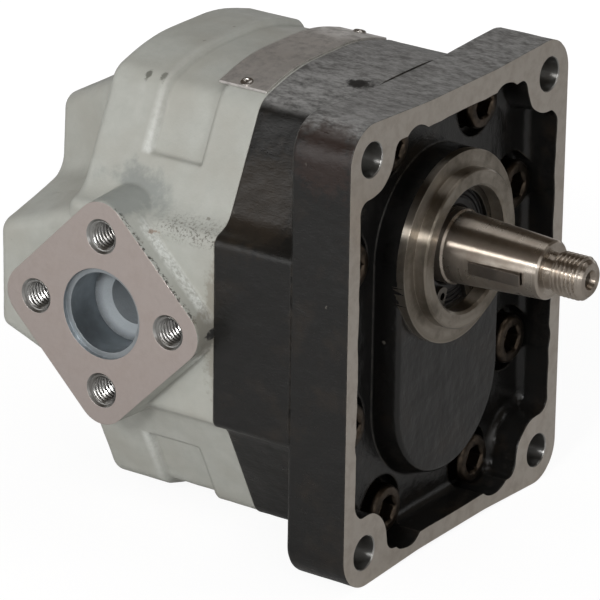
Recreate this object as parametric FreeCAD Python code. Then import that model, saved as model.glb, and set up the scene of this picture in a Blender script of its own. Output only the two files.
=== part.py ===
"""Hydraulic gear motor, European group 3 interface, cast-iron body, taper shaft.

Millimetres. Origin: centre of the pilot on the mounting face. +X runs out along the
drive shaft, +Z is up, and the ports face -Y and +Y. The casting is symmetric about
the height of the port line, half way between the two gear axes.
"""
import FreeCAD, Part
import math
import os

V = FreeCAD.Vector
X_DIR = V(1, 0, 0)

# Driving dimensions of the mounting interface
pilot_d = 50.8
pilot_len = 4.2
bolt_spacing_y = 98.4
bolt_spacing_z = 128.1
bolt_hole_d = 11.0
bolt_hole_chamfer = 0.3

# Flange plate and its front pocket
plate_len = 22.0
plate_margin_y = 11.1
plate_margin_z = 11.85
plate_corner_r = 12.0
plate_top_dip = 1.9
plate_edge_r = 2.0
rim_side = 5.6
rim_top = 9.8
rim_bottom = 7.6
pocket_depth = 11.0
corner_boss_r = 12.3
pocket_fillet_r = 4.5
machined_ring_r = 30.7
ring_boss_drop = 2.8
ring_boss_r = 28.0
ring_boss_foot_r = 31.0

# Joint between flange and gear housing, and the body behind it
joint_x = -49.5
neck_step = 0.3
belt_half_z = 31.0
shoulder_w = 6.8
shoulder_z = 32.7
shoulder_r = 9.0
lobe_corner_y = 36.2
lobe_corner_z = 68.4
lobe_corner_r = 8.0
arch_z = 73.9
arch_flat_y = 17.0
arch_r = 70.0
body_len = 57.0
body_edge_r = 3.0
rear_len = 26.4
waist_start = 15.4
waist_len = 19.4
waist_ramp = 0.8
waist_lip = 0.4
waist_lip_run = 0.6
waist_corner_r = 2.5
waist_deep = 2.0
waist_foot_z = 46.8
belt_corner_r = 3.2

# Ports
port_from_joint = 37.0
port_stand = 8.35
port_bore_d = 26.0
port_bore_deep = 14.0
port_passage_d = 17.0
port_lip_d = 29.5
port_lip_deep = 1.5
port_pcd = 51.0
port_thread_d = 10.0
port_thread_depth = 19.0
port_thread_cone = 0.7
port_half_diagonal = 40.7
port_corner_r = 9.5

# Gear set
gear_module = 3.5
gear_teeth = 12
gear_pressure_angle = math.radians(20.0)
centre_distance = 43.1
gear_len = 28.0
tip_r = 24.75
root_r = 17.3
tooth_thinning = 0.12
undercut_angle = math.radians(1.6)
flank_points = 7
journal_d = 25.0
running_gap = 0.04
side_gap = 0.04
tip_gap = 0.05

# Bearing blocks, bushes and their seals
front_block_len = 22.62
rear_block_len = 18.5
block_gap = 0.03
bush_wall = 2.0
block_chamfer = 0.8
relief_w = 9.0
relief_h = 6.5
relief_deep = 1.6
loop_r = 20.2
loop_w = 2.4
backup_w = 1.2
loop_deep = 3.0

# Shaft
shaft_d = 24.0
taper_gauge_d = 21.59
taper_gauge_x = 10.0
taper_ratio = 8.0
taper_start_x = 1.1
taper_end_x = 33.9
shaft_chamfer = 0.6
thread_d = 14.0
thread_relief_w = 2.2
thread_relief_d = 11.8
shaft_end_x = 47.4
tip_chamfer = 1.8
centre_hole_d = 4.6
centre_hole_deep = 9.0
centre_cone_d = 6.4
key_w = 4.0
key_d = 19.0
key_h = 7.5
key_proud = 1.0
key_x = 19.6
key_turn = math.radians(7.0)
key_fit = 0.02
keyseat_extra_r = 0.4

# Shaft seal, its circlip and the support bush in the flange nose
seal_bore_d = 40.0
seal_len = 8.0
seal_wall = 1.2
seal_front_x = -3.0
spacer_len = 2.0
spacer_bore_d = 30.0
circlip_len = 1.75
circlip_band = 3.2
circlip_groove_deep = 1.2
circlip_gap_half = math.radians(26.0)
circlip_ear_r = 3.1
circlip_eye_d = 2.4
circlip_turn = math.radians(271.0)
nose_chamfer = 0.8
spring_r = 0.7
oil_space_d = 31.0
support_bush_len = 24.0
support_bush_wall = 2.0
support_bush_back = 5.5

# Joint fastening
screw_d = 10.0
screw_head_d = 16.0
screw_head_len = 10.0
screw_hex = 8.0
screw_hex_deep = 5.0
screw_top_x = -8.0
screw_len = 50.0
screw_clearance = 0.5
screw_thread_fit = 0.02
screw_hole_extra = 4.0
screw_side_in = 14.8
screw_side_z = 26.2
screw_end_y = 24.7
screw_top_z = 59.2
screw_low_z = 60.7
spotface_r = 9.0
top_dip_r = 8.9
low_dip_r = 10.2
well_deep = 4.5
well_foot_r = 1.8
pocket_floor_r = 3.0
dowel_d = 8.0
dowel_len = 16.0
dowel_in = 19.0
dowel_fit = 0.01
ring_seal_r = 29.4
ring_seal_w = 2.6

# Nameplate on the arch
nameplate_len = 17.8
nameplate_from_joint = 0.9
nameplate_t = 0.8
nameplate_half_y = 32.5
rivet_d = 3.2
rivet_head_h = 0.9
rivet_len = 4.0

# Smaller details
plate_dip_y = 19.0
plate_dip_r = 60.0
boss_edge_r = 1.6
boss_low_extra = 3.8
pilot_chamfer = 0.5
circlip_side_gap = 0.1
circlip_ear_lap = 1.6
circlip_gap_ear = math.radians(7.0)
press_gap = 0.01
port_root_in = 20.0
rear_belt_z = 17.0
rear_shoulder_w = 19.0
rear_shoulder_z = 21.8
rear_neck_y = 28.5
rear_neck_z = 25.5
rear_half_y = 27.0
rear_half_z = 50.0
rear_belt_r = 5.0
rear_shoulder_r = 10.0
rear_neck_r = 7.0
rear_corner_r = 5.0
rear_taper = 8.0
rear_root_in = 2.0
rear_root_out = 5.0
rear_overlap = 5.0
rear_edge_r = 2.5
ring_seal_deep = 2.0
root_rise = 0.9
journal_end_gap = 0.8
block_fit = 0.03
least_corner_r = 0.3
groove_r = loop_r
groove_w = loop_w + backup_w
groove_waist = 8.0
relief_in = 3.0
pocket_foot_r = 4.0
port_draft = 2.5
drill_point_slope = math.radians(31.0)
port_root_r = 13.0
rear_rise = 16.0
bush_chamfer = 0.4
seal_web_r = 14.6
seal_lip_back = 5.2
seal_lip_bevel = 1.4
seal_lip_relief = 0.9
seal_web_lap = 0.6
dust_lip_back = 0.5
dust_lip_gap = 0.3
spring_seat_r = 14.7
screw_chamfer = 1.0
dowel_end_gap = 0.5
rivet_rim = 0.5
rivet_from_end = 2.2

# Values that follow from the driving dimensions
gear_z = -centre_distance
mid_z = gear_z / 2
plate_half_y = bolt_spacing_y / 2 + plate_margin_y
plate_half_z = bolt_spacing_z / 2 + plate_margin_z
belt_half_y = plate_half_y - neck_step
shoulder_y = belt_half_y - shoulder_w
rear_shoulder_y = belt_half_y - rear_shoulder_w
screw_side_y = belt_half_y - screw_side_in
dowel_y = belt_half_y - dowel_in
port_face_y = belt_half_y + port_stand
port_root_y = belt_half_y - port_root_in
port_x = joint_x - port_from_joint
gear_front_x = joint_x - block_gap - front_block_len - side_gap
gear_back_x = gear_front_x - gear_len
cavity_end_x = gear_back_x - side_gap - rear_block_len - block_gap
cavity_r = tip_r + tip_gap
body_back_x = joint_x - body_len
rear_x = body_back_x - rear_len
journal_r = journal_d / 2
bush_out_r = journal_r + running_gap + bush_wall
shaft_r = shaft_d / 2
seal_bore_r = seal_bore_d / 2
seal_back_x = seal_front_x - seal_len
spacer_back_x = seal_back_x - spacer_len
lip_x = seal_front_x - seal_lip_back
support_back_x = joint_x + support_bush_back
support_front_x = support_back_x + support_bush_len
support_out_r = shaft_r + running_gap + support_bush_wall
axes_z = (0.0, gear_z)


def taper_r(x):
    """Radius of the 1:8 shaft cone at a place along the shaft."""
    return taper_gauge_d / 2 - (x - taper_gauge_x) / (2 * taper_ratio)


def at(z):
    """Height measured from the port line, turned into a height of the model."""
    return mid_z + z


def rounded_wire(corners, place):
    """Closed wire through (u, v, radius) corners; place puts (u, v) in space."""
    edges = []
    cuts = []
    count = len(corners)
    for i in range(count):
        before = V(*corners[i - 1][:2], 0)
        here = V(*corners[i][:2], 0)
        after = V(*corners[(i + 1) % count][:2], 0)
        to_before = (before - here).normalize()
        to_after = (after - here).normalize()
        half = to_before.getAngle(to_after) / 2
        reach = corners[i][2] / math.tan(half)
        start = here + to_before * reach
        end = here + to_after * reach
        inward = (to_before + to_after).normalize()
        middle = here + inward * (corners[i][2] / math.sin(half) - corners[i][2])
        cuts.append((start, middle, end))
    for i in range(count):
        start, middle, end = cuts[i]
        following = cuts[(i + 1) % count][0]
        if corners[i][2] > 0:
            points = [place(p.x, p.y) for p in (start, middle, end)]
            edges.append(Part.Arc(*points).toShape())
        if (following - end).Length > 1e-6:
            edges.append(Part.LineSegment(place(end.x, end.y), place(following.x, following.y)).toShape())
    return Part.Wire(edges)


def wire_at_x(corners, x):
    return rounded_wire(corners, lambda u, v: V(x, u, v))


def slab(corners, x0, x1):
    """Outline in (y, z) swept along the shaft direction from x0 to x1."""
    return Part.Face(wire_at_x(corners, x0)).extrude(V(x1 - x0, 0, 0))


def rod(radius, x0, x1, y=0.0, z=0.0):
    """Cylinder along the shaft direction."""
    return Part.makeCylinder(radius, abs(x1 - x0), V(min(x0, x1), y, z), X_DIR)


def turned(profile, z=0.0):
    """Solid of revolution about the axis at height z from (x, r) points."""
    points = [V(x, 0, z + r) for x, r in profile]
    wire = Part.makePolygon(points + [points[0]])
    return Part.Face(wire).revolve(V(0, 0, z), X_DIR, 360)


def both_sides(corners):
    """Full outline from its +Y upper quarter, mirrored left-right and up-down."""
    left = [(-y, z, r) for y, z, r in reversed(corners)]
    upper = corners + left
    lower = [(y, -z, r) for y, z, r in reversed(upper)]
    return [(y, at(z), r) for y, z, r in upper + lower]


def body_corners():
    """Upper +Y quarter of the main section: half a belt with a lobe above it."""
    return [
        (belt_half_y, belt_half_z, belt_corner_r),
        (shoulder_y, shoulder_z, shoulder_r),
        (lobe_corner_y, lobe_corner_z, lobe_corner_r),
        (arch_flat_y, arch_z, arch_r),
    ]


def body_outline():
    return both_sides(body_corners())


def moved_in(corners, inset):
    """Outline moved inward by inset, with every edge parallel to the old one."""
    count = len(corners)
    result = []
    for i in range(count):
        before = V(*corners[i - 1][:2], 0)
        here = V(*corners[i][:2], 0)
        after = V(*corners[(i + 1) % count][:2], 0)
        first = (here - before).normalize()
        second = (after - here).normalize()
        normal_1 = V(-first.y, first.x, 0)
        normal_2 = V(-second.y, second.x, 0)
        middle = (normal_1 + normal_2).normalize()
        place = here + middle * (inset / middle.dot(normal_1))
        convex = first.cross(second).z > 0
        radius = corners[i][2] - inset if convex else corners[i][2] + inset
        result.append((place.x, place.y, max(radius, least_corner_r)))
    return result


def slab_lobed(radius, waist, x0, x1):
    """Two discs on the gear axes joined by a straight waist of half-width waist."""
    shape = rod(radius, x0, x1)
    shape = shape.fuse(rod(radius, x0, x1, 0, gear_z))
    web = Part.makeBox(abs(x1 - x0), 2 * waist, centre_distance, V(min(x0, x1), -waist, gear_z))
    return shape.fuse(web).removeSplitter()


def loop(radius, waist, width, x0, x1):
    """Closed seal loop that follows both discs and the waist."""
    outer = slab_lobed(radius + width / 2, waist + width / 2, x0, x1)
    return outer.cut(slab_lobed(radius - width / 2, waist - width / 2, x0, x1))


def oblong(radius):
    """Outline that wraps both gear axes with round ends."""
    return [(radius, radius, radius), (-radius, radius, radius),
            (-radius, gear_z - boss_low_extra - radius, radius),
            (radius, gear_z - boss_low_extra - radius, radius)]


def ring(outer, inner, x0, x1, z=0.0):
    return rod(outer, x0, x1, 0, z).cut(rod(inner, x0, x1, 0, z))


def screw_places():
    places = []
    for y in (-1, 1):
        places.append((y * screw_side_y, at(screw_side_z)))
        places.append((y * screw_side_y, at(-screw_side_z)))
        places.append((y * screw_end_y, at(screw_top_z)))
        places.append((y * screw_end_y, at(-screw_low_z)))
    return places


def mounting_places():
    return [(y * bolt_spacing_y / 2, at(z * bolt_spacing_z / 2)) for y in (-1, 1) for z in (-1, 1)]


def along_x(shape, x_max=None):
    """Straight edges that run along the shaft direction."""
    found = []
    for edge in shape.Edges:
        box = edge.BoundBox
        straight = box.YLength < 1e-5 and box.ZLength < 1e-5 and box.XLength > 1
        if straight and (x_max is None or box.XMax < x_max):
            found.append(edge)
    return found


def flange_plate():
    """Square mounting plate with round corners and slightly hollow top and bottom edges."""
    quarter = [
        (plate_half_y, plate_half_z, plate_corner_r),
        (plate_dip_y, plate_half_z - plate_top_dip, plate_dip_r),
    ]
    plate = slab(both_sides(quarter), -plate_len, 0)
    back = [e for e in plate.Edges if e.BoundBox.XMax < -plate_len + 1e-6]
    return plate.makeFillet(plate_edge_r, back)


def flange_pocket(depth):
    """Cast recess inside the machined rim, round the corner bosses and screw heads."""
    side = plate_half_y - rim_side
    top = at(plate_half_z - rim_top)
    low = at(-plate_half_z + rim_bottom)
    pocket = Part.makeBox(depth, 2 * side, top - low, V(-depth, -side, low))
    for y, z in mounting_places():
        reach = math.copysign(corner_boss_r, y)
        rise = math.copysign(corner_boss_r, z - mid_z)
        corners = [(y + reach, z - rise, 0), (y, z - rise, 0), (y, z, 0), (y - reach, z, 0),
                   (y - reach, z + 2 * rise, 0), (y + reach, z + 2 * rise, 0)]
        pocket = pocket.cut(slab(corners, -depth, 0))
        pocket = pocket.cut(rod(corner_boss_r, -depth, 0, y, z))
    for y, z in screw_places():
        dip_r = top_dip_r if z > mid_z else low_dip_r
        pocket = pocket.fuse(rod(dip_r, -depth, 0, y, z))
    pocket = pocket.removeSplitter()
    boss_side = bolt_spacing_y / 2 - corner_boss_r
    for reach, radius in ((side, pocket_fillet_r), (boss_side, pocket_foot_r)):
        edges = [e for e in along_x(pocket) if abs(abs(e.Vertexes[0].Point.y) - reach) < 1e-3
                 and (reach == side or not low + 1 < e.Vertexes[0].Point.z < top - 1)]
        pocket = pocket.makeFillet(radius, edges)
    return pocket


def floor_rounded(pocket, floor_x, radius):
    """The recess with its cast floor rounded into its walls."""
    return pocket.makeFillet(radius, [e for e in pocket.Edges if e.BoundBox.XMax < floor_x + 1e-6])


def screw_wells():
    """Cast wells in the pocket floor, one round each screw head, inside the pocket's outline."""
    depth = pocket_depth + well_deep
    outline = flange_pocket(depth)
    wells = []
    for y, z in screw_places():
        well = rod(spotface_r + well_foot_r, -depth, 0, y, z).common(outline)
        wells.append(floor_rounded(well, -depth, well_foot_r))
    return wells


def pilot_and_boss():
    """Oblong boss in the pocket, the machined ring on it and the pilot."""
    boss = Part.makeLoft([wire_at_x(oblong(ring_boss_foot_r), -pocket_depth - 1),
                          wire_at_x(oblong(ring_boss_r), -ring_boss_drop)], True, True)
    front = [e for e in boss.Edges if e.BoundBox.XMin > -ring_boss_drop - 1e-6]
    boss = boss.makeFillet(boss_edge_r, front)
    pilot = turned([
        (-pocket_depth - 1, 0), (-pocket_depth - 1, machined_ring_r), (0, machined_ring_r),
        (0, pilot_d / 2), (pilot_len - pilot_chamfer, pilot_d / 2),
        (pilot_len, pilot_d / 2 - pilot_chamfer), (pilot_len, 0),
    ])
    return boss.fuse(pilot)


def nose_bores():
    """Seal bore with its circlip groove, the oil space and the seat of the support bush."""
    groove_front = seal_front_x + circlip_len + circlip_side_gap
    return turned([
        (pilot_len + 1, 0), (pilot_len + 1, seal_bore_r + nose_chamfer + 1),
        (pilot_len - nose_chamfer, seal_bore_r), (groove_front, seal_bore_r),
        (groove_front, seal_bore_r + circlip_groove_deep), (seal_front_x, seal_bore_r + circlip_groove_deep),
        (seal_front_x, seal_bore_r), (spacer_back_x, seal_bore_r),
        (spacer_back_x, oil_space_d / 2), (support_front_x, oil_space_d / 2),
        (support_front_x, support_out_r + press_gap), (support_back_x, support_out_r + press_gap),
        (support_back_x, oil_space_d / 2), (joint_x - 1, oil_space_d / 2), (joint_x - 1, 0),
    ])


def mounting_hole(y, z):
    radius = bolt_hole_d / 2
    hole = rod(radius, -plate_len - 1, 1, y, z)
    mouth = Part.makeCone(radius, radius + 2 * bolt_hole_chamfer, 2 * bolt_hole_chamfer,
                          V(-bolt_hole_chamfer, y, z), X_DIR)
    return hole.fuse(mouth)


def front_flange():
    neck = slab(moved_in(body_outline(), -neck_step), joint_x, -plate_len + 1)
    pocket = floor_rounded(flange_pocket(pocket_depth), -pocket_depth, pocket_floor_r)
    casting = flange_plate().fuse(neck).cut(pocket)
    for well in screw_wells():
        casting = casting.cut(well)
    casting = casting.fuse(pilot_and_boss()).cut(nose_bores())
    seat_x = screw_top_x - screw_head_len
    for y, z in screw_places():
        casting = casting.cut(rod(spotface_r, -pocket_depth, seat_x, y, z))
        casting = casting.cut(rod(screw_d / 2 + screw_clearance, 0, joint_x, y, z))
    for y, z in mounting_places():
        casting = casting.cut(mounting_hole(y, z))
    for y in (-dowel_y, dowel_y):
        casting = casting.cut(rod(dowel_d / 2 + dowel_fit, joint_x, joint_x + dowel_len / 2, y, mid_z))
    return casting


def waist_cutter():
    """Shallow hollow round the upper lobe, with a square front step and a ramp behind."""
    front_x = joint_x - waist_start
    flat_x = front_x - waist_len
    over = waist_deep / 2
    edge_x = flat_x - waist_ramp
    end_x = edge_x - waist_lip_run * (waist_lip + over) / waist_lip
    deep = moved_in(body_outline(), waist_deep)
    lip = moved_in(body_outline(), waist_lip)
    proud = moved_in(body_outline(), -over)
    sections = [wire_at_x(deep, front_x + 1), wire_at_x(deep, flat_x),
                wire_at_x(lip, edge_x), wire_at_x(proud, end_x - 0.01)]
    core = Part.makeLoft(sections, True, True)
    width = belt_half_y + 2 * over
    height = arch_z + 2 * over - waist_foot_z
    block = Part.makeBox(front_x - end_x, 2 * width, height, V(end_x, -width, at(waist_foot_z)))
    cutter = block.cut(core)
    foot_z = at(waist_foot_z)
    corner = []
    for edge in cutter.Edges:
        box = edge.BoundBox
        at_foot = box.ZMax < foot_z + 1e-4 and box.XMax < flat_x + 1e-4
        if at_foot and box.XLength > waist_ramp / 2 and abs(box.YMax + box.YMin) > shoulder_y:
            corner.append(edge)
    return cutter.makeFillet(waist_corner_r, corner)


def mirrored_down(shape):
    return shape.mirror(V(0, 0, mid_z), V(0, 0, 1))


def mirrored_across(shape):
    return shape.mirror(V(0, 0, 0), V(0, 1, 0))


def port_boss():
    """Square boss turned onto its corner, with a machined face on the -Y side."""
    reach = port_half_diagonal
    spread = 1 + port_draft / reach
    corners = [(port_x + reach, mid_z, port_corner_r), (port_x, mid_z + reach, port_corner_r),
               (port_x - reach, mid_z, port_corner_r), (port_x, mid_z - reach, port_corner_r)]
    root = [(port_x + (x - port_x) * spread, mid_z + (z - mid_z) * spread, port_root_r)
            for x, z, _ in corners]
    face = rounded_wire(corners, lambda u, v: V(u, -port_face_y, v))
    foot = rounded_wire(root, lambda u, v: V(u, -port_root_y, v))
    boss = Part.makeLoft([face, foot], True, True)
    beyond = Part.makeBox(port_half_diagonal, 2 * port_face_y, 4 * port_half_diagonal,
                          V(joint_x, -2 * port_face_y, mid_z - 2 * port_half_diagonal))
    return boss.cut(beyond)


def port_drilling():
    """Port bore with its lip and passage, and the four tapped holes round it, on the -Y side."""
    toward = V(0, 1, 0)
    mouth = V(port_x, -port_face_y, mid_z)
    floor_cone = (port_bore_d - port_passage_d) / 2 * math.tan(drill_point_slope)
    cut = Part.makeCylinder(port_passage_d / 2, port_face_y, mouth, toward)
    cut = cut.fuse(Part.makeCylinder(port_bore_d / 2, port_bore_deep, mouth, toward))
    cut = cut.fuse(Part.makeCone(port_bore_d / 2, port_passage_d / 2, floor_cone,
                                 mouth + toward * port_bore_deep, toward))
    cut = cut.fuse(Part.makeCylinder(port_lip_d / 2, port_lip_deep, mouth, toward))
    for turn in range(4):
        angle = turn * math.pi / 2
        place = V(port_x + port_pcd / 2 * math.cos(angle), -port_face_y,
                  mid_z + port_pcd / 2 * math.sin(angle))
        hole = Part.makeCylinder(port_thread_d / 2, port_thread_depth, place, toward)
        cone = Part.makeCone(port_thread_d / 2 + port_thread_cone, port_thread_d / 2, port_thread_cone,
                             place, toward)
        cut = cut.fuse(hole).fuse(cone)
    return cut


def rear_end():
    """Tapered back of the casting, from inside the body to the end face."""
    back = [(belt_half_y, rear_belt_z, rear_belt_r),
            (rear_shoulder_y, rear_shoulder_z, rear_shoulder_r),
            (rear_neck_y, rear_neck_z, rear_neck_r),
            (rear_half_y, rear_half_z, rear_corner_r)]
    front = [(belt_half_y, belt_half_z - rear_root_in, rear_belt_r),
             (rear_shoulder_y + rear_taper, belt_half_z, rear_shoulder_r),
             (rear_neck_y + rear_taper, belt_half_z + rear_root_out, rear_neck_r),
             (rear_half_y + rear_taper, rear_half_z + rear_rise, rear_corner_r)]
    start_x = body_back_x + rear_overlap
    solid = Part.makeLoft([wire_at_x(both_sides(front), start_x), wire_at_x(both_sides(back), rear_x)],
                          True, True)
    edges = [e for e in solid.Edges if e.BoundBox.XMax < rear_x + 1e-6]
    return solid.makeFillet(rear_edge_r, edges)


def gear_housing():
    main = slab(body_outline(), body_back_x, joint_x)
    back = [e for e in main.Edges if e.BoundBox.XMax < body_back_x + 1e-6]
    main = main.makeFillet(body_edge_r, back)
    hollow = waist_cutter()
    main = main.cut(hollow).cut(mirrored_down(hollow))
    casting = main.fuse(rear_end())
    boss = port_boss()
    casting = casting.fuse(boss).fuse(mirrored_across(boss))
    casting = casting.cut(cavity())
    drilling = port_drilling()
    casting = casting.cut(drilling).cut(mirrored_across(drilling))
    casting = casting.cut(loop(ring_seal_r, ring_seal_r, ring_seal_w, joint_x - ring_seal_deep, joint_x))
    hole_end_x = screw_top_x - screw_head_len - screw_len - screw_hole_extra
    for y, z in screw_places():
        casting = casting.cut(rod(screw_d / 2 + screw_thread_fit, hole_end_x, joint_x, y, z))
    for y in (-dowel_y, dowel_y):
        casting = casting.cut(rod(dowel_d / 2 + dowel_fit, joint_x - dowel_len / 2, joint_x, y, mid_z))
    return casting


def cavity():
    """Twin bore for the gears and their bearing blocks."""
    return rod(cavity_r, cavity_end_x, joint_x).fuse(rod(cavity_r, cavity_end_x, joint_x, 0, gear_z))


def involute(angle):
    return math.tan(angle) - angle


def tooth_half_angle(radius):
    """Half the tooth angle at a radius, for the profile shift that the centre distance asks for."""
    pitch_r = gear_module * gear_teeth / 2
    base_r = pitch_r * math.cos(gear_pressure_angle)
    working = math.acos(2 * base_r / centre_distance)
    at_working = math.pi / (2 * gear_teeth)
    here = math.acos(min(1.0, base_r / radius))
    return at_working + involute(working) - involute(here) - tooth_thinning / (2 * radius)


def gear(x0, x1, z, phase):
    """Spur gear blank with involute flanks and round-bottomed spaces."""
    base_r = gear_module * gear_teeth / 2 * math.cos(gear_pressure_angle)
    radii = [base_r + (tip_r - base_r) * (i / (flank_points - 1)) ** 1.5 for i in range(flank_points)]
    pitch = 2 * math.pi / gear_teeth
    foot_r = root_r + root_rise
    foot_half = tooth_half_angle(base_r) - undercut_angle

    def spot(radius, angle):
        return V(x0, radius * math.sin(angle), z + radius * math.cos(angle))

    edges = []
    for tooth in range(gear_teeth):
        centre = phase + tooth * pitch
        rising = [spot(r, centre - tooth_half_angle(r)) for r in radii]
        falling = [spot(r, centre + tooth_half_angle(r)) for r in reversed(radii)]
        left_foot = spot(foot_r, centre - foot_half)
        right_foot = spot(foot_r, centre + foot_half)
        next_foot = spot(foot_r, centre + pitch - foot_half)
        for flank in (rising, falling):
            curve = Part.BSplineCurve()
            curve.interpolate(flank)
            edges.append(curve.toShape())
        edges.append(Part.Arc(rising[-1], spot(tip_r, centre), falling[0]).toShape())
        edges.append(Part.LineSegment(left_foot, rising[0]).toShape())
        edges.append(Part.LineSegment(falling[-1], right_foot).toShape())
        edges.append(Part.Arc(right_foot, spot(root_r, centre + pitch / 2), next_foot).toShape())
    wire = Part.Wire(Part.__sortEdges__(edges))
    return Part.Face(wire).extrude(V(x1 - x0, 0, 0))


def rear_journal_points():
    """Rear journal, from its end face to the middle of the gear."""
    end_x = cavity_end_x + journal_end_gap
    middle_x = (gear_front_x + gear_back_x) / 2
    return [(middle_x, 0), (end_x, 0), (end_x, journal_r - shaft_chamfer),
            (end_x + shaft_chamfer, journal_r), (middle_x, journal_r)]


def drive_gear_shaft():
    """Drive gear in one piece with its journals, the taper, the thread and the keyseat."""
    shoulder_x = joint_x - block_gap - journal_end_gap
    thread_start_x = taper_end_x + thread_relief_w
    thread_r = thread_d / 2
    rear = rear_journal_points()
    front = [
        (shoulder_x, journal_r), (shoulder_x, shaft_r),
        (taper_start_x - shaft_chamfer, shaft_r), (taper_start_x, taper_r(taper_start_x)),
        (taper_end_x - shaft_chamfer, taper_r(taper_end_x - shaft_chamfer)),
        (taper_end_x, taper_r(taper_end_x) - shaft_chamfer),
        (taper_end_x, thread_relief_d / 2), (thread_start_x, thread_relief_d / 2),
        (thread_start_x + (thread_r - thread_relief_d / 2), thread_r),
        (shaft_end_x - tip_chamfer, thread_r), (shaft_end_x, thread_r - tip_chamfer), (shaft_end_x, 0),
    ]
    shaft = turned(rear[1:] + front)
    shaft = shaft.fuse(gear(gear_back_x, gear_front_x, 0.0, math.pi))
    cone_len = (centre_cone_d - centre_hole_d) / 2 / math.tan(math.radians(30))
    drill = turned([
        (shaft_end_x + 1, 0), (shaft_end_x + 1, centre_cone_d / 2), (shaft_end_x, centre_cone_d / 2),
        (shaft_end_x - cone_len, centre_hole_d / 2), (shaft_end_x - centre_hole_deep, centre_hole_d / 2),
        (shaft_end_x - centre_hole_deep - centre_hole_d / 4, 0),
    ])
    seat = key_disc(key_d / 2 + keyseat_extra_r, key_w + 2 * key_fit)
    return shaft.cut(drill).cut(seat)


def driven_gear_shaft():
    end_x = joint_x - block_gap - journal_end_gap
    rear = rear_journal_points()
    front = [(end_x - shaft_chamfer, journal_r), (end_x, journal_r - shaft_chamfer), (end_x, 0)]
    shaft = turned(rear[1:] + front, gear_z)
    half_pitch = math.pi / gear_teeth
    return shaft.fuse(gear(gear_back_x, gear_front_x, gear_z, half_pitch))


def key_directions():
    outward = V(0, -math.cos(key_turn), -math.sin(key_turn))
    return outward, X_DIR.cross(outward)


def key_disc(radius, width):
    """Disc across the shaft that forms the half-moon key and its seat."""
    outward, across = key_directions()
    height = taper_r(key_x) + key_proud + key_d / 2 - key_h
    centre = V(key_x, 0, 0) + outward * height
    return Part.makeCylinder(radius, width, centre - across * (width / 2), across)


def woodruff_key():
    outward, across = key_directions()
    top = taper_r(key_x) + key_proud
    disc = key_disc(key_d / 2, key_w)
    box = Part.makeBox(2 * key_d, key_d, 2 * key_w, V(key_x - key_d, 0, -key_w))
    box.rotate(V(0, 0, 0), X_DIR, 180 + math.degrees(key_turn))
    box.translate(outward * top)
    return disc.cut(box)


def bearing_block(x0, x1, seal_side, gear_side):
    """Figure-eight block with two bush bores, a seal groove and relief pockets."""
    radius = cavity_r - block_fit
    outline = [(x0, 0), (x0, radius - block_chamfer), (x0 + block_chamfer, radius),
               (x1 - block_chamfer, radius), (x1, radius - block_chamfer), (x1, 0)]
    block = turned(outline).fuse(turned(outline, gear_z))
    for z in axes_z:
        block = block.cut(rod(bush_out_r + press_gap, x0, x1, 0, z))
    inward = math.copysign(loop_deep, gear_side - seal_side)
    groove = loop(groove_r, groove_waist, groove_w, seal_side, seal_side + inward)
    block = block.cut(groove)
    depth = math.copysign(relief_deep, seal_side - gear_side)
    for side in (-1, 1):
        low_x = min(gear_side, gear_side + depth)
        low_y = relief_in if side > 0 else -relief_in - relief_w
        pocket = Part.makeBox(relief_deep, relief_w, relief_h, V(low_x, low_y, mid_z - relief_h / 2))
        block = block.cut(pocket)
    return block


def bush(x0, x1, z, in_r, out_r):
    """Plain bearing bush with small chamfers at the bore ends."""
    ease = bush_chamfer
    return turned([(x0, in_r + ease), (x0 + ease, in_r), (x1 - ease, in_r), (x1, in_r + ease),
                   (x1, out_r), (x0, out_r)], z)


def seal_loops(face_x, groove_x):
    """Balance seal and its backup ring, side by side in one groove."""
    inner = loop(groove_r - backup_w / 2, groove_waist - backup_w / 2, loop_w, groove_x, face_x)
    outer_r = groove_r + loop_w / 2
    outer = loop(outer_r, groove_waist + loop_w / 2, backup_w, groove_x, face_x)
    return inner, outer


def shaft_seal_case():
    """Pressed steel case of the seal: an outer wall with a radial web at the front."""
    front = seal_front_x
    return turned([
        (front, seal_web_r), (front, seal_bore_r - press_gap), (seal_back_x, seal_bore_r - press_gap),
        (seal_back_x, seal_bore_r - seal_wall), (front - seal_wall, seal_bore_r - seal_wall),
        (front - seal_wall, seal_web_r),
    ])


def shaft_seal_lip():
    """Rubber lip moulded to the web, running on the shaft."""
    lip_r = shaft_r + running_gap
    clear_r = lip_r + seal_lip_relief
    lap_r = seal_web_r + seal_web_lap
    front = seal_front_x
    return turned([
        (front, seal_web_r), (front, clear_r), (front - dust_lip_back, lip_r + dust_lip_gap),
        (front - seal_lip_bevel, clear_r), (lip_x + seal_lip_bevel, clear_r),
        (lip_x, lip_r), (lip_x - seal_lip_bevel, clear_r), (lip_x - seal_lip_bevel, spring_seat_r),
        (lip_x + seal_lip_bevel, spring_seat_r), (front - seal_wall - seal_lip_bevel, lap_r),
        (front - seal_wall, lap_r), (front - seal_wall, seal_web_r),
    ])


def garter_spring():
    """Closed coil spring round the lip, as one plain eight-sided ring of its outside size."""
    middle_r = spring_seat_r + spring_r
    return turned([(lip_x + spring_r * math.cos((i + 0.5) * math.pi / 4),
                    middle_r + spring_r * math.sin((i + 0.5) * math.pi / 4)) for i in range(8)])


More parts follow.
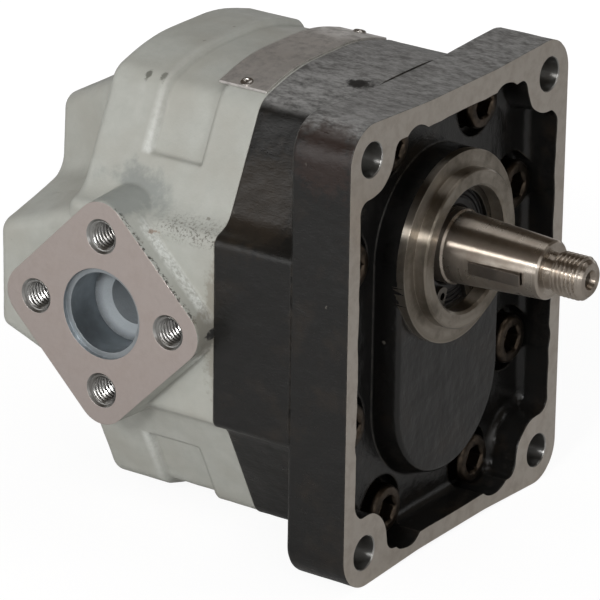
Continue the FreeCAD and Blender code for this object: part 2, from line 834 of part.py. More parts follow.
def retaining_ring():
    """Internal circlip: an open band in its groove, with two pierced ears."""
    front = seal_front_x + circlip_len
    outer = seal_bore_r + circlip_groove_deep - circlip_side_gap
    band = ring(outer, outer - circlip_band, seal_front_x, front)
    ear_centre_r = outer - circlip_band - circlip_ear_r + circlip_ear_lap
    for side in (-1, 1):
        angle = circlip_turn + side * circlip_gap_half
        y = ear_centre_r * math.cos(angle)
        z = ear_centre_r * math.sin(angle)
        band = band.fuse(rod(circlip_ear_r, seal_front_x, front, y, z))
        band = band.cut(rod(circlip_eye_d / 2, seal_front_x, front, y, z))
    reach = 2 * outer
    points = [V(seal_front_x, 0, 0)]
    for side in (-1, 1):
        angle = circlip_turn + side * (circlip_gap_half - circlip_gap_ear)
        points.append(V(seal_front_x, reach * math.cos(angle), reach * math.sin(angle)))
    wedge = Part.Face(Part.makePolygon(points + points[:1])).extrude(V(circlip_len, 0, 0))
    return band.cut(wedge)


def hex_prism(across_flats, x0, x1, y, z):
    radius = across_flats / math.sqrt(3)
    corners = [(y + radius * math.cos(i * math.pi / 3), z + radius * math.sin(i * math.pi / 3), 0)
               for i in range(6)]
    return slab(corners, x0, x1)


def flange_screw(y, z):
    """Socket-head cap screw, seated in the pocket and tapped into the housing."""
    seat_x = screw_top_x - screw_head_len
    end_x = seat_x - screw_len
    head_r = screw_head_d / 2
    screw = turned([
        (screw_top_x, 0), (screw_top_x, head_r - screw_chamfer), (screw_top_x - screw_chamfer, head_r),
        (seat_x, head_r), (seat_x, screw_d / 2), (end_x + screw_chamfer, screw_d / 2),
        (end_x, screw_d / 2 - screw_chamfer), (end_x, 0),
    ])
    screw.translate(V(0, y, z))
    return screw.cut(hex_prism(screw_hex, screw_top_x - screw_hex_deep, screw_top_x, y, z))


def dowel_pin(y):
    low = joint_x - dowel_len / 2 + dowel_end_gap
    high = joint_x + dowel_len / 2 - dowel_end_gap
    radius = dowel_d / 2
    pin = turned([(low, 0), (low, radius - shaft_chamfer), (low + shaft_chamfer, radius),
                  (high - shaft_chamfer, radius), (high, radius - shaft_chamfer), (high, 0)])
    pin.translate(V(0, y, mid_z))
    return pin


def nameplate_span():
    front = joint_x - nameplate_from_joint
    return front - nameplate_len, front


def nameplate():
    """Thin blank plate bent over the arch."""
    x0, x1 = nameplate_span()
    outer = slab(moved_in(body_outline(), -nameplate_t), x0, x1)
    inner = slab(body_outline(), x0, x1)
    keep = Part.makeBox(x1 - x0, 2 * nameplate_half_y, arch_z, V(x0, -nameplate_half_y, at(arch_z / 2)))
    plate = outer.cut(inner).common(keep)
    for side in (-1, 1):
        plate = plate.cut(rivet_bar(side, rivet_d / 2, -1, 2))
    return plate


def rivet_frame(side):
    """Where a rivet meets the casting, and the outward direction there."""
    slope = math.atan2(arch_z - lobe_corner_z, lobe_corner_y - arch_flat_y)
    y = nameplate_half_y - rivet_from_end
    z = at(arch_z) - (y - arch_flat_y) * math.tan(slope)
    middle_x = sum(nameplate_span()) / 2
    return V(middle_x, side * y, z), V(0, side * math.sin(slope), math.cos(slope))


def rivet_bar(side, radius, low, high):
    spot, outward = rivet_frame(side)
    return Part.makeCylinder(radius, high - low, spot + outward * low, outward)


def rivet(side):
    """Drive rivet: a shank in the casting under a low domed head."""
    spot, outward = rivet_frame(side)
    shank = rivet_bar(side, rivet_d / 2 - press_gap, -rivet_len, nameplate_t)
    head_r = rivet_d / 2 + rivet_rim
    ball_r = (head_r ** 2 + rivet_head_h ** 2) / (2 * rivet_head_h)
    ball = Part.makeSphere(ball_r, spot + outward * (nameplate_t + rivet_head_h - ball_r))
    head = ball.common(rivet_bar(side, head_r, nameplate_t, nameplate_t + rivet_head_h))
    return shank.fuse(head)


def write(name, *solids):
    shape = solids[0] if len(solids) == 1 else Part.makeCompound(solids)
    shape.exportStep("parts/" + name + ".step")
    box = shape.BoundBox
    print(name, len(shape.Solids), "solids", shape.isValid(), round(shape.Volume),
          [round(v, 2) for v in (box.XMin, box.XMax, box.YMin, box.YMax, box.ZMin, box.ZMax)])


def main():
    os.makedirs("parts", exist_ok=True)
    write("front_flange", front_flange())
    housing = gear_housing()
    for side in (-1, 1):
        housing = housing.cut(rivet_bar(side, rivet_d / 2, -rivet_len - 0.5, 1))
    write("gear_housing", housing)
    write("drive_gear_shaft", drive_gear_shaft())
    write("driven_gear_shaft", driven_gear_shaft())
    write("woodruff_key", woodruff_key())

    front_face = joint_x - block_gap
    rear_face = cavity_end_x + block_gap
    front_span = (front_face - front_block_len, front_face)
    rear_span = (rear_face, rear_face + rear_block_len)
    write("front_bearing_block", bearing_block(*front_span, front_span[1], front_span[0]))
    write("rear_bearing_block", bearing_block(*rear_span, rear_span[0], rear_span[1]))
    for place, span in (("front", front_span), ("rear", rear_span)):
        for name, z in (("drive", 0.0), ("driven", gear_z)):
            write(place + "_" + name + "_bush", bush(*span, z, journal_r + running_gap, bush_out_r))
    front_seals = seal_loops(joint_x, front_face - loop_deep)
    rear_seals = seal_loops(cavity_end_x, rear_face + loop_deep)
    write("front_balance_seal", front_seals[0])
    write("front_backup_ring", front_seals[1])
    write("rear_balance_seal", rear_seals[0])
    write("rear_backup_ring", rear_seals[1])
    ring_seal = loop(ring_seal_r, ring_seal_r, ring_seal_w, joint_x - ring_seal_deep, joint_x)
    write("housing_seal_ring", ring_seal)

    write("support_bush", bush(support_back_x, support_front_x, 0, shaft_r + running_gap, support_out_r))
    write("seal_spacer_ring", ring(seal_bore_r - press_gap, spacer_bore_d / 2, spacer_back_x, seal_back_x))
    write("shaft_seal_case", shaft_seal_case())
    write("shaft_seal_lip", shaft_seal_lip())
    write("seal_garter_spring", garter_spring())
    write("seal_retaining_ring", retaining_ring())
    write("flange_screws", *[flange_screw(y, z) for y, z in screw_places()])
    write("dowel_pins", *[dowel_pin(y) for y in (-dowel_y, dowel_y)])
    write("nameplate", nameplate())
    write("nameplate_rivets", *[rivet(side) for side in (-1, 1)])


main()
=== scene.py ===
# %% [markdown]
# # A hydraulic gear motor, dressed for its picture
# The CAD model gives every solid of the motor, in metres and in one fixed frame: +X runs out
# along the drive shaft, +Z is up, and the ports face -Y and +Y. This notebook gives those solids
# their finish and adds what is too fine for CAD: threads, knurled screw heads, cast skin and wear.

import math

import bmesh
import bpy
from mathutils import Matrix, Vector, noise


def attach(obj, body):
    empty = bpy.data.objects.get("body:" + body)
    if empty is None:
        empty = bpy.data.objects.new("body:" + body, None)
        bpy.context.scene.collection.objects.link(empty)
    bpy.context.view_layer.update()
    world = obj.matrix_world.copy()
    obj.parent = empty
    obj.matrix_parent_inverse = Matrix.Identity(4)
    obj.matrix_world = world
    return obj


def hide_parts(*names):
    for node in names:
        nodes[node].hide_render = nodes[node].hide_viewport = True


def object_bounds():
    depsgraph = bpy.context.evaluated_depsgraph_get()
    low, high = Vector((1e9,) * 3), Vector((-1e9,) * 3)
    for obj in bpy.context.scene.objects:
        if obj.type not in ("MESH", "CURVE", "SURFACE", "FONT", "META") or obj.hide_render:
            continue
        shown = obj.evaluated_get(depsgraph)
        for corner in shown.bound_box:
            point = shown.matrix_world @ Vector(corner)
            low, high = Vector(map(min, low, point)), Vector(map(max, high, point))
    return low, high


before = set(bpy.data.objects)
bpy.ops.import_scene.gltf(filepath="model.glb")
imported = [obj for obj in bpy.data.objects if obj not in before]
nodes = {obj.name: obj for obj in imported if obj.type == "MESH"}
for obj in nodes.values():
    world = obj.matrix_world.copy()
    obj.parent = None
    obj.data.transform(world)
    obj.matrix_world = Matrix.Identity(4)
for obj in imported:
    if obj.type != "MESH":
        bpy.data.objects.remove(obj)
cad_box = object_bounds()
MM = 0.001
print("CAD nodes:", len(nodes), "box:", [[round(v, 4) for v in corner] for corner in cad_box])

# %% [markdown]
# ## Camera
# The motor was photographed from far away with a long lens, so its edges hardly converge. A lens
# can be guessed and nudged until the picture fits; here it was solved from sizes that are standard
# on this flange, which also gives the slight roll and the small upward crop of the frame.

# %% Camera
AZIMUTH, ELEVATION, ROLL = (math.radians(v) for v in (34.806, 21.269, 0.848))
AIM = Vector((-60, 0, -20)) * MM
DISTANCE = 1473.384 * MM


def linked(name, data):
    """A new object that holds the data and is in the scene."""
    holder = bpy.data.objects.new(name, data)
    bpy.context.scene.collection.objects.link(holder)
    return holder


back = Vector((math.sin(AZIMUTH) * math.cos(ELEVATION),
               -math.cos(AZIMUTH) * math.cos(ELEVATION), math.sin(ELEVATION)))
level_right = Vector((math.cos(AZIMUTH), math.sin(AZIMUTH), 0))
level_up = back.cross(level_right)
right = level_right * math.cos(ROLL) + level_up * math.sin(ROLL)
up = level_up * math.cos(ROLL) - level_right * math.sin(ROLL)
camera = linked("Camera", bpy.data.cameras.new("Camera"))
turned = Matrix((right, up, back)).transposed().to_4x4()
camera.matrix_world = Matrix.Translation(AIM + back * DISTANCE) @ turned
camera.data.lens = 279.59
camera.data.sensor_width = 36
camera.data.shift_x = 0.0013
camera.data.shift_y = -0.0599
camera.data.clip_end = 20
bpy.context.scene.camera = camera
print("camera at", [round(v, 3) for v in camera.matrix_world.translation])

# %% [markdown]
# ## Building node trees
# Materials and Geometry Nodes are both graphs. One small helper adds a node, sets its options and
# fills its inputs with values or with the outputs of earlier nodes, so that a whole graph reads
# as a list of assignments. The others name what is done most: sums, masks, colours.

# %% Node helpers
def empty_tree(owner):
    """The node tree of a world or a material, with nothing in it."""
    owner.use_nodes = True
    owner.node_tree.nodes.clear()
    return owner.node_tree


def fill(tree, socket, value):
    """Gives an input its value, or links it to the output that feeds it."""
    if isinstance(value, bpy.types.NodeSocket):
        tree.links.new(value, socket)
    else:
        socket.default_value = value


def put(tree, kind, inputs=None, **options):
    """Adds a node; inputs maps a socket's name or number to a value or to another socket."""
    node = tree.nodes.new(kind)
    for key, value in options.items():
        setattr(node, key, value)
    for key, value in (inputs or {}).items():
        fill(tree, node.inputs[key], value)
    return node


def feed(tree, sockets, **outputs):
    """Links each output to the socket of its name, in which an underscore is a space."""
    for key, output in outputs.items():
        tree.links.new(output, sockets[key.replace("_", " ")])


print("node helpers ready")

# %% Number helpers
def calc(tree, operation, *values):
    """A Math node; values are numbers or sockets."""
    return put(tree, "ShaderNodeMath", dict(enumerate(values)), operation=operation).outputs[0]


def times(tree, first, *factors):
    """The product of masks and numbers."""
    for factor in factors:
        first = calc(tree, "MULTIPLY", first, factor)
    return first


def remap(tree, value, low, high, new_low=0.0, new_high=1.0, smooth=False):
    """Stretches one range of a mask to another and clamps it."""
    kind = "SMOOTHSTEP" if smooth else "LINEAR"
    inputs = {"Value": value, "From Min": low, "From Max": high,
              "To Min": new_low, "To Max": new_high}
    return put(tree, "ShaderNodeMapRange", inputs, interpolation_type=kind).outputs[0]


def band(tree, length, low_mm, high_mm, new_low=0.0, new_high=1.0):
    """A mask that changes between two places, in millimetres, along a length in metres."""
    return remap(tree, length, low_mm * MM, high_mm * MM, new_low, new_high)


def apart(tree, length, centre_mm):
    """How far a coordinate is from a place in millimetres, on either side."""
    return calc(tree, "ABSOLUTE", calc(tree, "SUBTRACT", length, centre_mm * MM))


print("number helpers ready")

# %% Vector, colour and noise helpers
def vector_of(tree, operation, *values, output="Vector"):
    """A Vector Math node; its output is Value where it measures, as a length does."""
    inputs = dict(enumerate(values))
    return put(tree, "ShaderNodeVectorMath", inputs, operation=operation).outputs[output]


def scaled(tree, vector, factor):
    """A vector times a number."""
    inputs = {0: vector, "Scale": factor}
    return put(tree, "ShaderNodeVectorMath", inputs, operation="SCALE").outputs[0]


def parts_of(tree, vector):
    """The three components of a vector socket."""
    return put(tree, "ShaderNodeSeparateXYZ", {0: vector}).outputs


def own_place(tree):
    """Object coordinates, in metres: a pattern on them stays put on its piece."""
    return put(tree, "ShaderNodeTexCoord").outputs["Object"]


def own_normal(tree):
    """The direction that the surface faces."""
    return put(tree, "ShaderNodeNewGeometry").outputs["Normal"]


def srgb(red, green, blue):
    """A colour as it is read off a screen, 0 to 255, turned into linear light."""
    def linear(v):
        v /= 255
        return v / 12.92 if v <= 0.04045 else ((v + 0.055) / 1.055) ** 2.4
    return linear(red), linear(green), linear(blue), 1


def blend_colours(tree, factor, first, second):
    """A Mix node for colours."""
    node = put(tree, "ShaderNodeMix", data_type="RGBA")
    sockets = {i.identifier: i for i in node.inputs}
    for key, value in (("Factor_Float", factor), ("A_Color", first), ("B_Color", second)):
        fill(tree, sockets[key], value)
    return next(o for o in node.outputs if o.identifier == "Result_Color")


def noise_of(tree, place, size_mm, detail=3.0, roughness=0.55):
    """A Noise node whose features are about size_mm across."""
    if isinstance(size_mm, bpy.types.NodeSocket):
        scale = calc(tree, "DIVIDE", 1 / MM, size_mm)
    else:
        scale = 1 / MM / size_mm
    return put(tree, "ShaderNodeTexNoise", {"Vector": place, "Scale": scale, "Detail": detail,
                                            "Roughness": roughness}).outputs[0]


print("vector and colour helpers ready")

# %% Group helpers
KIND_OF = {float: "Float", int: "Int", tuple: "Vector"}


def group_of(name, inputs, outputs, kind="ShaderNodeTree"):
    """An empty node group; sockets map a label to a socket kind, or to a first value."""
    tree = bpy.data.node_groups.new(name, kind)
    for side, sockets in (("INPUT", inputs), ("OUTPUT", outputs)):
        for label, value in sockets.items():
            named = KIND_OF.get(type(value), value)
            socket = tree.interface.new_socket(label, in_out=side,
                                               socket_type="NodeSocket" + named)
            if named != value:
                socket.default_value = value
    return tree, put(tree, "NodeGroupInput").outputs, put(tree, "NodeGroupOutput").inputs


def use(tree, group, **inputs):
    """Places a shader group in a material and returns its outputs."""
    named = {key.replace("_", " "): value for key, value in inputs.items()}
    return put(tree, "ShaderNodeGroup", named, node_tree=group).outputs


print("group helpers ready")

# %% [markdown]
# ## Light, floor and background
# A small soft box beside the camera draws the white line along the shaft. A broad one at the front
# lights the -Y sides more than the tops, and a weaker one at the right opens the pocket. Polished
# steel shows whatever stands round it: here a white backdrop near the horizon and, above its top,
# a dim warm room, which gives the steel its dark bands. A plain white world would flatten it.

# %% World
WHITE = (1, 1, 1, 1)
SOFT_FILL = (0.24, 0.24, 0.24, 1)
DIM_ROOM = (0.085, 0.07, 0.055, 1)
BACKDROP_TOP = 0.24

world = bpy.data.worlds.new("Studio")
bpy.context.scene.world = world
tree = empty_tree(world)
path = put(tree, "ShaderNodeLightPath").outputs
height = parts_of(tree, put(tree, "ShaderNodeTexCoord").outputs["Generated"])[2]
mirrored = blend_colours(tree, remap(tree, height, 0.0, BACKDROP_TOP, smooth=True), WHITE, DIM_ROOM)
seen = calc(tree, "MAXIMUM", path["Is Camera Ray"], path["Is Transmission Ray"])
plain = blend_colours(tree, seen, SOFT_FILL, WHITE)
around = blend_colours(tree, path["Is Glossy Ray"], plain, mirrored)
sky = put(tree, "ShaderNodeBackground", {"Color": around})
put(tree, "ShaderNodeOutputWorld", {"Surface": sky.outputs[0]})
bpy.context.scene.view_settings.view_transform = "Standard"
print("world nodes:", len(tree.nodes))


# %% Lamps
MIDDLE = Vector((-0.04, 0, -0.02))


def lamp(name, toward, distance, size, watts):
    """A square soft lamp in the direction toward, aimed at the motor."""
    light = bpy.data.lights.new(name, "AREA")
    light.size = size
    light.energy = watts
    toward = Vector(toward).normalized()
    turn = (-toward).to_track_quat("-Z", "Y").to_matrix().to_4x4()
    linked(name, light).matrix_world = Matrix.Translation(MIDDLE + toward * distance) @ turn


lamp("Key", (0.22, -0.885, 0.42), 1.5, 0.22, 8.5)
lamp("Front", (-0.3, -0.95, 0.1), 1.4, 1.2, 6.5)
lamp("Side", (0.75, -0.5, 0.42), 1.3, 0.8, 2.8)
lamp("Top", (0.1, 0.25, 1.0), 1.4, 0.8, 3.0)

# %% Floor
FLOOR_GAP = 0.02 * MM
FLOOR_HALF = 6.0
GLOW_NEAR, GLOW_FAR, GLOW_SHARE = 1.15, 1.36, 0.8

floor_z = cad_box[0][2] - FLOOR_GAP
corners = [(x * FLOOR_HALF, y * FLOOR_HALF, floor_z)
           for x, y in ((-1, -1), (1, -1), (1, 1), (-1, 1))]
floor_mesh = bpy.data.meshes.new("Floor")
floor_mesh.from_pydata(corners, [], [(0, 1, 2, 3)])
floor = linked("Floor", floor_mesh)
material = bpy.data.materials.new("Pale_floor")
tree = empty_tree(material)
away = vector_of(tree, "LENGTH", own_place(tree), output="Value")
glow = remap(tree, away, 0.15, 0.9, GLOW_NEAR, GLOW_FAR, smooth=True)
lit = put(tree, "ShaderNodeBsdfPrincipled", {"Base Color": (0.62, 0.61, 0.60, 1),
                                             "Roughness": 0.9, "Specular IOR Level": 0.1})
white = put(tree, "ShaderNodeEmission", {"Color": WHITE, "Strength": glow})
share = times(tree, put(tree, "ShaderNodeLightPath").outputs["Is Camera Ray"], GLOW_SHARE)
mix = put(tree, "ShaderNodeMixShader", {0: share, 1: lit.outputs[0], 2: white.outputs[0]})
put(tree, "ShaderNodeOutputMaterial", {"Surface": mix.outputs[0]})
floor_mesh.materials.append(material)
print("floor at", round(floor_z, 5))

# %% [markdown]
# ## Shared surface effects
# The same few things happen to every metal part: a skin left by sand or cutter, edges that lost
# their paint, specks of dirt. Each could be built anew in every material; as a shader group with
# its own sizes it serves a casting and a shaft alike.

# %% Cast skin
cast_skin, given, result = group_of(
    "Cast_skin", {"Place": "Vector", "Grain": 0.9, "Lump": 6.0, "Grain share": 0.5},
    {"Height": "Float", "Mottle": "Float", "Slow": "Float"})
tree = cast_skin
grain = noise_of(tree, given["Place"], given["Grain"], 3.0, 0.62)
lump = noise_of(tree, given["Place"], given["Lump"], 4.0, 0.6)
slow = noise_of(tree, given["Place"], times(tree, given["Lump"], 3.7), 2.0, 0.5)
joined = put(tree, "ShaderNodeMix", {0: given["Grain share"], 2: lump, 3: grain}).outputs[0]
feed(tree, result, Height=joined, Mottle=lump, Slow=slow)
print("group:", cast_skin.name)

# %% Edge wear
edge_wear, given, result = group_of(
    "Edge_wear", {"Width": 0.8, "Break up": 3.0, "Strength": 1.0},
    {"Mask": "Float", "Normal": "Vector"})
tree = edge_wear
rounding = {"Radius": times(tree, given["Width"], MM)}
soft = put(tree, "ShaderNodeBevel", rounding, samples=4).outputs[0]
turned = vector_of(tree, "DOT_PRODUCT", soft, own_normal(tree), output="Value")
edge = remap(tree, turned, 0.97, 0.80)
patchy = noise_of(tree, own_place(tree), given["Break up"], 4.0)
worn = times(tree, edge, remap(tree, patchy, 0.38, 0.58, 0.15, 1.0), given["Strength"])
feed(tree, result, Mask=worn, Normal=soft)
print("group:", edge_wear.name)

# %% Specks
FRAY_SCALE, FRAY_REACH = 900.0, 0.0022
specks, given, result = group_of(
    "Specks", {"Spacing": 3.0, "Size": 0.25, "Share": 0.5}, {"Mask": "Float"})
tree = specks
spot = own_place(tree)
fray = put(tree, "ShaderNodeTexNoise", {"Vector": spot, "Scale": FRAY_SCALE, "Detail": 3.0})
bent = scaled(tree, fray.outputs["Color"], FRAY_REACH)
cell = put(tree, "ShaderNodeTexVoronoi", {
    "Vector": vector_of(tree, "ADD", spot, bent),
    "Scale": calc(tree, "DIVIDE", 1 / MM, given["Spacing"])})
near = remap(tree, cell.outputs["Distance"], given["Size"], times(tree, given["Size"], 0.6))
chosen = put(tree, "ShaderNodeSeparateColor", {0: cell.outputs["Color"]}).outputs[0]
kept = calc(tree, "LESS_THAN", chosen, given["Share"])
feed(tree, result, Mask=times(tree, near, kept))
print("group:", specks.name)

# %% Stains and painted shade
stain_and_shade, given, result = group_of(
    "Stain_and_shade", {"Centre": "Vector", "Stretch": (1, 1, 1), "Radius": 5.0, "Break up": 2.0},
    {"Mask": "Float"})
tree = stain_and_shade
spot = own_place(tree)
from_centre = vector_of(tree, "SUBTRACT", spot, scaled(tree, given["Centre"], MM))
squeezed = vector_of(tree, "MULTIPLY", from_centre, given["Stretch"])
away = vector_of(tree, "LENGTH", squeezed, output="Value")
share = calc(tree, "DIVIDE", away, times(tree, given["Radius"], MM))
ragged = calc(tree, "MULTIPLY_ADD", noise_of(tree, spot, given["Break up"], 4.0, 0.7), 1.6, -0.8)
feed(tree, result, Mask=remap(tree, calc(tree, "ADD", share, ragged), 1.0, 0.45, smooth=True))
print("group:", stain_and_shade.name)

# %% Turned marks
turned_marks, given, result = group_of(
    "Turned_marks", {"Place": "Vector", "Spacing": 0.3},
    {"Height": "Float", "Shade": "Float", "Radius": "Float"})
tree = turned_marks
x, y, z = parts_of(tree, given["Place"])
radius = calc(tree, "SQRT", calc(tree, "ADD", times(tree, y, y), times(tree, z, z)))
steps = times(tree, calc(tree, "ADD", radius, x), 1 / MM)
steps = calc(tree, "DIVIDE", steps, given["Spacing"])
for label, scale, detail in (("Height", 1.0, 2.0), ("Shade", 0.09, 3.0)):
    lines = put(tree, "ShaderNodeTexNoise", {"W": steps, "Scale": scale, "Detail": detail},
                noise_dimensions="1D")
    tree.links.new(lines.outputs[0], result[label])
feed(tree, result, Radius=radius)
print("group:", turned_marks.name)

# %% [markdown]
# ## Paints
# The flange is brushed with a semi-gloss black over rough cast iron, and the gear housing with a
# warm light grey. Both could be a flat colour with a bump map, but paint on a casting also thins
# over edges and collects dirt, and a few masks paint light and shade: highlights on the port boss
# and the recess, a shadow at its step, shade above the boss and a sheen on the black tops. These
# masks drive the colour and the gloss.

# %% Paint helpers
def material_with(name, **sockets):
    """A Principled material; sockets are its even values. Returns it, its tree and its inputs."""
    material = bpy.data.materials.new(name)
    tree = empty_tree(material)
    named = {key.replace("_", " "): value for key, value in sockets.items()}
    shader = put(tree, "ShaderNodeBsdfPrincipled", named)
    put(tree, "ShaderNodeOutputMaterial", {"Surface": shader.outputs[0]})
    return material, tree, shader.inputs


def bump(tree, height, depth_mm, normal=None):
    """A Bump node whose full height is depth_mm on the real surface."""
    inputs = {"Height": height, "Distance": depth_mm * MM, "Strength": 1.0}
    if normal is not None:
        inputs["Normal"] = normal
    return put(tree, "ShaderNodeBump", inputs).outputs[0]


def marked(tree, colour, marks):
    """Lays stains and painted shade over a colour; each mark lists shade, share, centre, radius and
    raggedness in mm, squeeze.
    """
    for shade, share, centre, radius, ragged, squeeze in marks:
        mask = use(tree, stain_and_shade, Centre=centre, Radius=radius, Break_up=ragged, Stretch=squeeze)
        colour = blend_colours(tree, times(tree, mask["Mask"], share), colour, srgb(*shade))
    return colour


print("paint helpers ready")

# %% Black paint: colour
PORT_X, PORT_Z = -86.5, -21.55
EVEN = (1, 1, 1)
BLACK_MARKS = [
    ((14, 14, 14), 0.95, (-27, -17, 51.9), 4.2, 2.2, (0.75, 1, 1)),
    ((52, 36, 30), 0.5, (-10, -60, 44), 15.0, 3.0, EVEN),
    ((50, 42, 33), 0.5, (-40, -52, 22), 20.0, 4.0, EVEN),
]
black_paint, tree, surface = material_with("Black_paint", Specular_IOR_Level=0.42)
spot = own_place(tree)
x, y, z = parts_of(tree, spot)
brushed = {"Vector": spot, "Rotation": (0, 0, -0.65), "Scale": (0.42, 1.0, 1.0)}
laid = put(tree, "ShaderNodeMapping", brushed).outputs[0]
skin = use(tree, cast_skin, Place=laid, Grain=0.7, Lump=2.4, Grain_share=0.45)
edges = use(tree, edge_wear, Width=1.1, Break_up=2.5, Strength=0.5)
tone = remap(tree, skin["Mottle"], 0.3, 0.7)
colour = blend_colours(tree, tone, srgb(24, 23, 22), srgb(17, 17, 16))
warm = remap(tree, noise_of(tree, spot, 16.0, 4.0, 0.65), 0.52, 0.7, 0.0, 0.6)
colour = blend_colours(tree, warm, colour, srgb(42, 35, 28))
# Faces up near the top are lighter: dust, and a painted sheen where light grazes the tops.
faces_up = remap(tree, parts_of(tree, own_normal(tree))[2], 0.55, 0.95, smooth=True)
on_top = times(tree, faces_up, band(tree, z, 36, 42))
dust_and_sheen = times(tree, on_top, remap(tree, skin["Height"], 0.38, 0.60, 0.3, 1.0))
colour = blend_colours(tree, dust_and_sheen, colour, srgb(142, 141, 139))
chips = use(tree, specks, Spacing=8.0, Size=0.09, Share=0.2)["Mask"]
colour = blend_colours(tree, times(tree, chips, 0.45), colour, srgb(118, 114, 106))
colour = blend_colours(tree, edges["Mask"], colour, srgb(96, 90, 82))
feed(tree, surface, Base_Color=marked(tree, colour, BLACK_MARKS))
print("paint:", black_paint.name)

# %% Black paint: gloss and skin
PLATE_Y, PLATE_Z, PLATE_BACK = 60.3, 75.9, -22.0
in_pocket = times(tree, band(tree, calc(tree, "ABSOLUTE", y), PLATE_Y - 3, PLATE_Y - 4),
                  band(tree, apart(tree, z, PORT_Z), PLATE_Z - 3, PLATE_Z - 4),
                  band(tree, x, PLATE_BACK, PLATE_BACK + 1))
gloss = remap(tree, skin["Mottle"], 0.3, 0.7, 0.26, 0.4)
gloss = calc(tree, "SUBTRACT", gloss, times(tree, in_pocket, 0.15))
gloss = calc(tree, "ADD", gloss, times(tree, on_top, 0.18))
slow_skin = bump(tree, noise_of(tree, spot, 11.0, 2.0), 0.6, edges["Normal"])
feed(tree, surface, Roughness=gloss, Normal=bump(tree, skin["Height"], 0.18, slow_skin))
print("nodes of", black_paint.name, len(tree.nodes))

# %% Grey paint: colour
grey_paint, tree, surface = material_with("Grey_paint", Specular_IOR_Level=0.45)
spot = own_place(tree)
x, y, z = parts_of(tree, spot)
side = calc(tree, "ABSOLUTE", y)
skin = use(tree, cast_skin, Place=spot, Grain=0.8, Lump=5.0, Grain_share=0.4)
edges = use(tree, edge_wear, Width=1.9, Break_up=2.5, Strength=0.12)
tone = remap(tree, skin["Mottle"], 0.3, 0.7)
colour = blend_colours(tree, tone, srgb(180, 181, 174), srgb(171, 172, 165))
cloudy = remap(tree, skin["Slow"], 0.4, 0.66, 0.0, 0.6)
colour = blend_colours(tree, cloudy, colour, srgb(166, 164, 155))
print("paint:", grey_paint.name)

# %% Grey paint: port bosses
BOSS_REACH, BOSS_ROOT = 40.0, 60.0
from_port = calc(tree, "ADD", apart(tree, x, PORT_X), apart(tree, z, PORT_Z))
at_boss = times(tree, band(tree, from_port, BOSS_REACH - 0.4, BOSS_REACH + 0.4),
                band(tree, from_port, BOSS_REACH + 3.5, BOSS_REACH + 2.0),
                band(tree, side, BOSS_ROOT - 0.2, BOSS_ROOT + 0.2),
                band(tree, calc(tree, "ADD", x, z), -100, -84))
ragged = noise_of(tree, spot, 1.5, 4.0, 0.7)
# Painted highlight: a light strip along the root fillet of the port boss, where light would catch
# it.
painted_highlight = times(tree, at_boss, band(tree, side, 64.6, 62.6), band(tree, z, 11, 7),
               remap(tree, ragged, 0.38, 0.6, 0.05, 0.9))
colour = blend_colours(tree, painted_highlight, colour, srgb(226, 228, 224))
rough = times(tree, at_boss, remap(tree, ragged, 0.5, 0.56))
chipped = times(tree, band(tree, side, 66.0, 67.6), rough)
colour = blend_colours(tree, chipped, colour, srgb(46, 40, 34))
print("nodes so far:", len(tree.nodes))

# %% Grey paint: shelf line, specks and painted light at the recess
SHELF_Z, LOBE_START, STEP_X = 8.4, 46.8, -65.2
belt_edge = times(tree, band(tree, apart(tree, z, SHELF_Z), 4.5, 0.5), band(tree, x, -76, -66))
gritty = remap(tree, noise_of(tree, spot, 0.9, 3.0, 0.7), 0.5, 0.62, 0.0, 0.9)
colour = blend_colours(tree, times(tree, belt_edge, gritty), colour, srgb(92, 88, 80))
dots = use(tree, specks, Spacing=8.0, Size=0.09, Share=0.12)["Mask"]
colour = blend_colours(tree, times(tree, dots, 0.55), colour, srgb(96, 88, 78))
lobe = times(tree, band(tree, apart(tree, z, PORT_Z), LOBE_START - 0.5, LOBE_START + 0.5),
             band(tree, side, 35, 47, 0.15, 1.0))
# Painted highlight: a light band on the rear wall of the recess.
painted_ramp_highlight = times(tree, band(tree, x, -88.2, -86.6), band(tree, x, -83.9, -84.8), lobe,
             remap(tree, ragged, 0.3, 0.6, 0.35, 0.8))
colour = blend_colours(tree, painted_ramp_highlight, colour, srgb(216, 218, 213))
# Painted shadow: a darker line along the front step of the recess.
step = band(tree, apart(tree, x, STEP_X), 0.9, 0.2, 0.0, 0.5)
colour = blend_colours(tree, times(tree, step, lobe), colour, srgb(112, 110, 102))
print("nodes so far:", len(tree.nodes))

# %% Grey paint: painted shade, stains, gloss and skin
GREY_MARKS = [
    # The first mark is painted shade in the hollow above the port boss; the others are stains.
    ((112, 118, 117), 0.55, (-85, -58, 16), 16.0, 9.0, (1, 1, 1.5)),
    ((96, 96, 88), 0.85, (-92.8, -35.6, 46.3), 2.2, 1.2, (1.6, 1, 0.6)),
    ((104, 104, 96), 0.8, (-87.4, -35.1, 46.7), 2.2, 1.2, (1.6, 1, 0.6)),
    ((128, 92, 62), 0.6, (-72.7, -60.7, 6.5), 1.5, 1.0, (0.5, 1, 2.0)),
    ((120, 112, 98), 0.55, (-50, -59, -20), 16.0, 2.5, (3.5, 1, 0.6)),
]
colour = marked(tree, colour, GREY_MARKS)
colour = blend_colours(tree, edges["Mask"], colour, srgb(196, 192, 182))
gloss = remap(tree, skin["Mottle"], 0.3, 0.7, 0.36, 0.5)
gloss = calc(tree, "SUBTRACT", gloss, times(tree, painted_highlight, 0.12))
slow_skin = bump(tree, noise_of(tree, spot, 9.0, 2.0), 0.3, edges["Normal"])
feed(tree, surface, Base_Color=colour, Roughness=gloss,
     Normal=bump(tree, skin["Height"], 0.16, slow_skin))
print("nodes of", grey_paint.name, len(tree.nodes))

# %% [markdown]
# ## The cored passage
# Behind each port bore a core left a raw passage in the sand casting. It could share the paint of
# the outside, but oil keeps it bare and dull, so it has a rough blue-grey iron of its own.

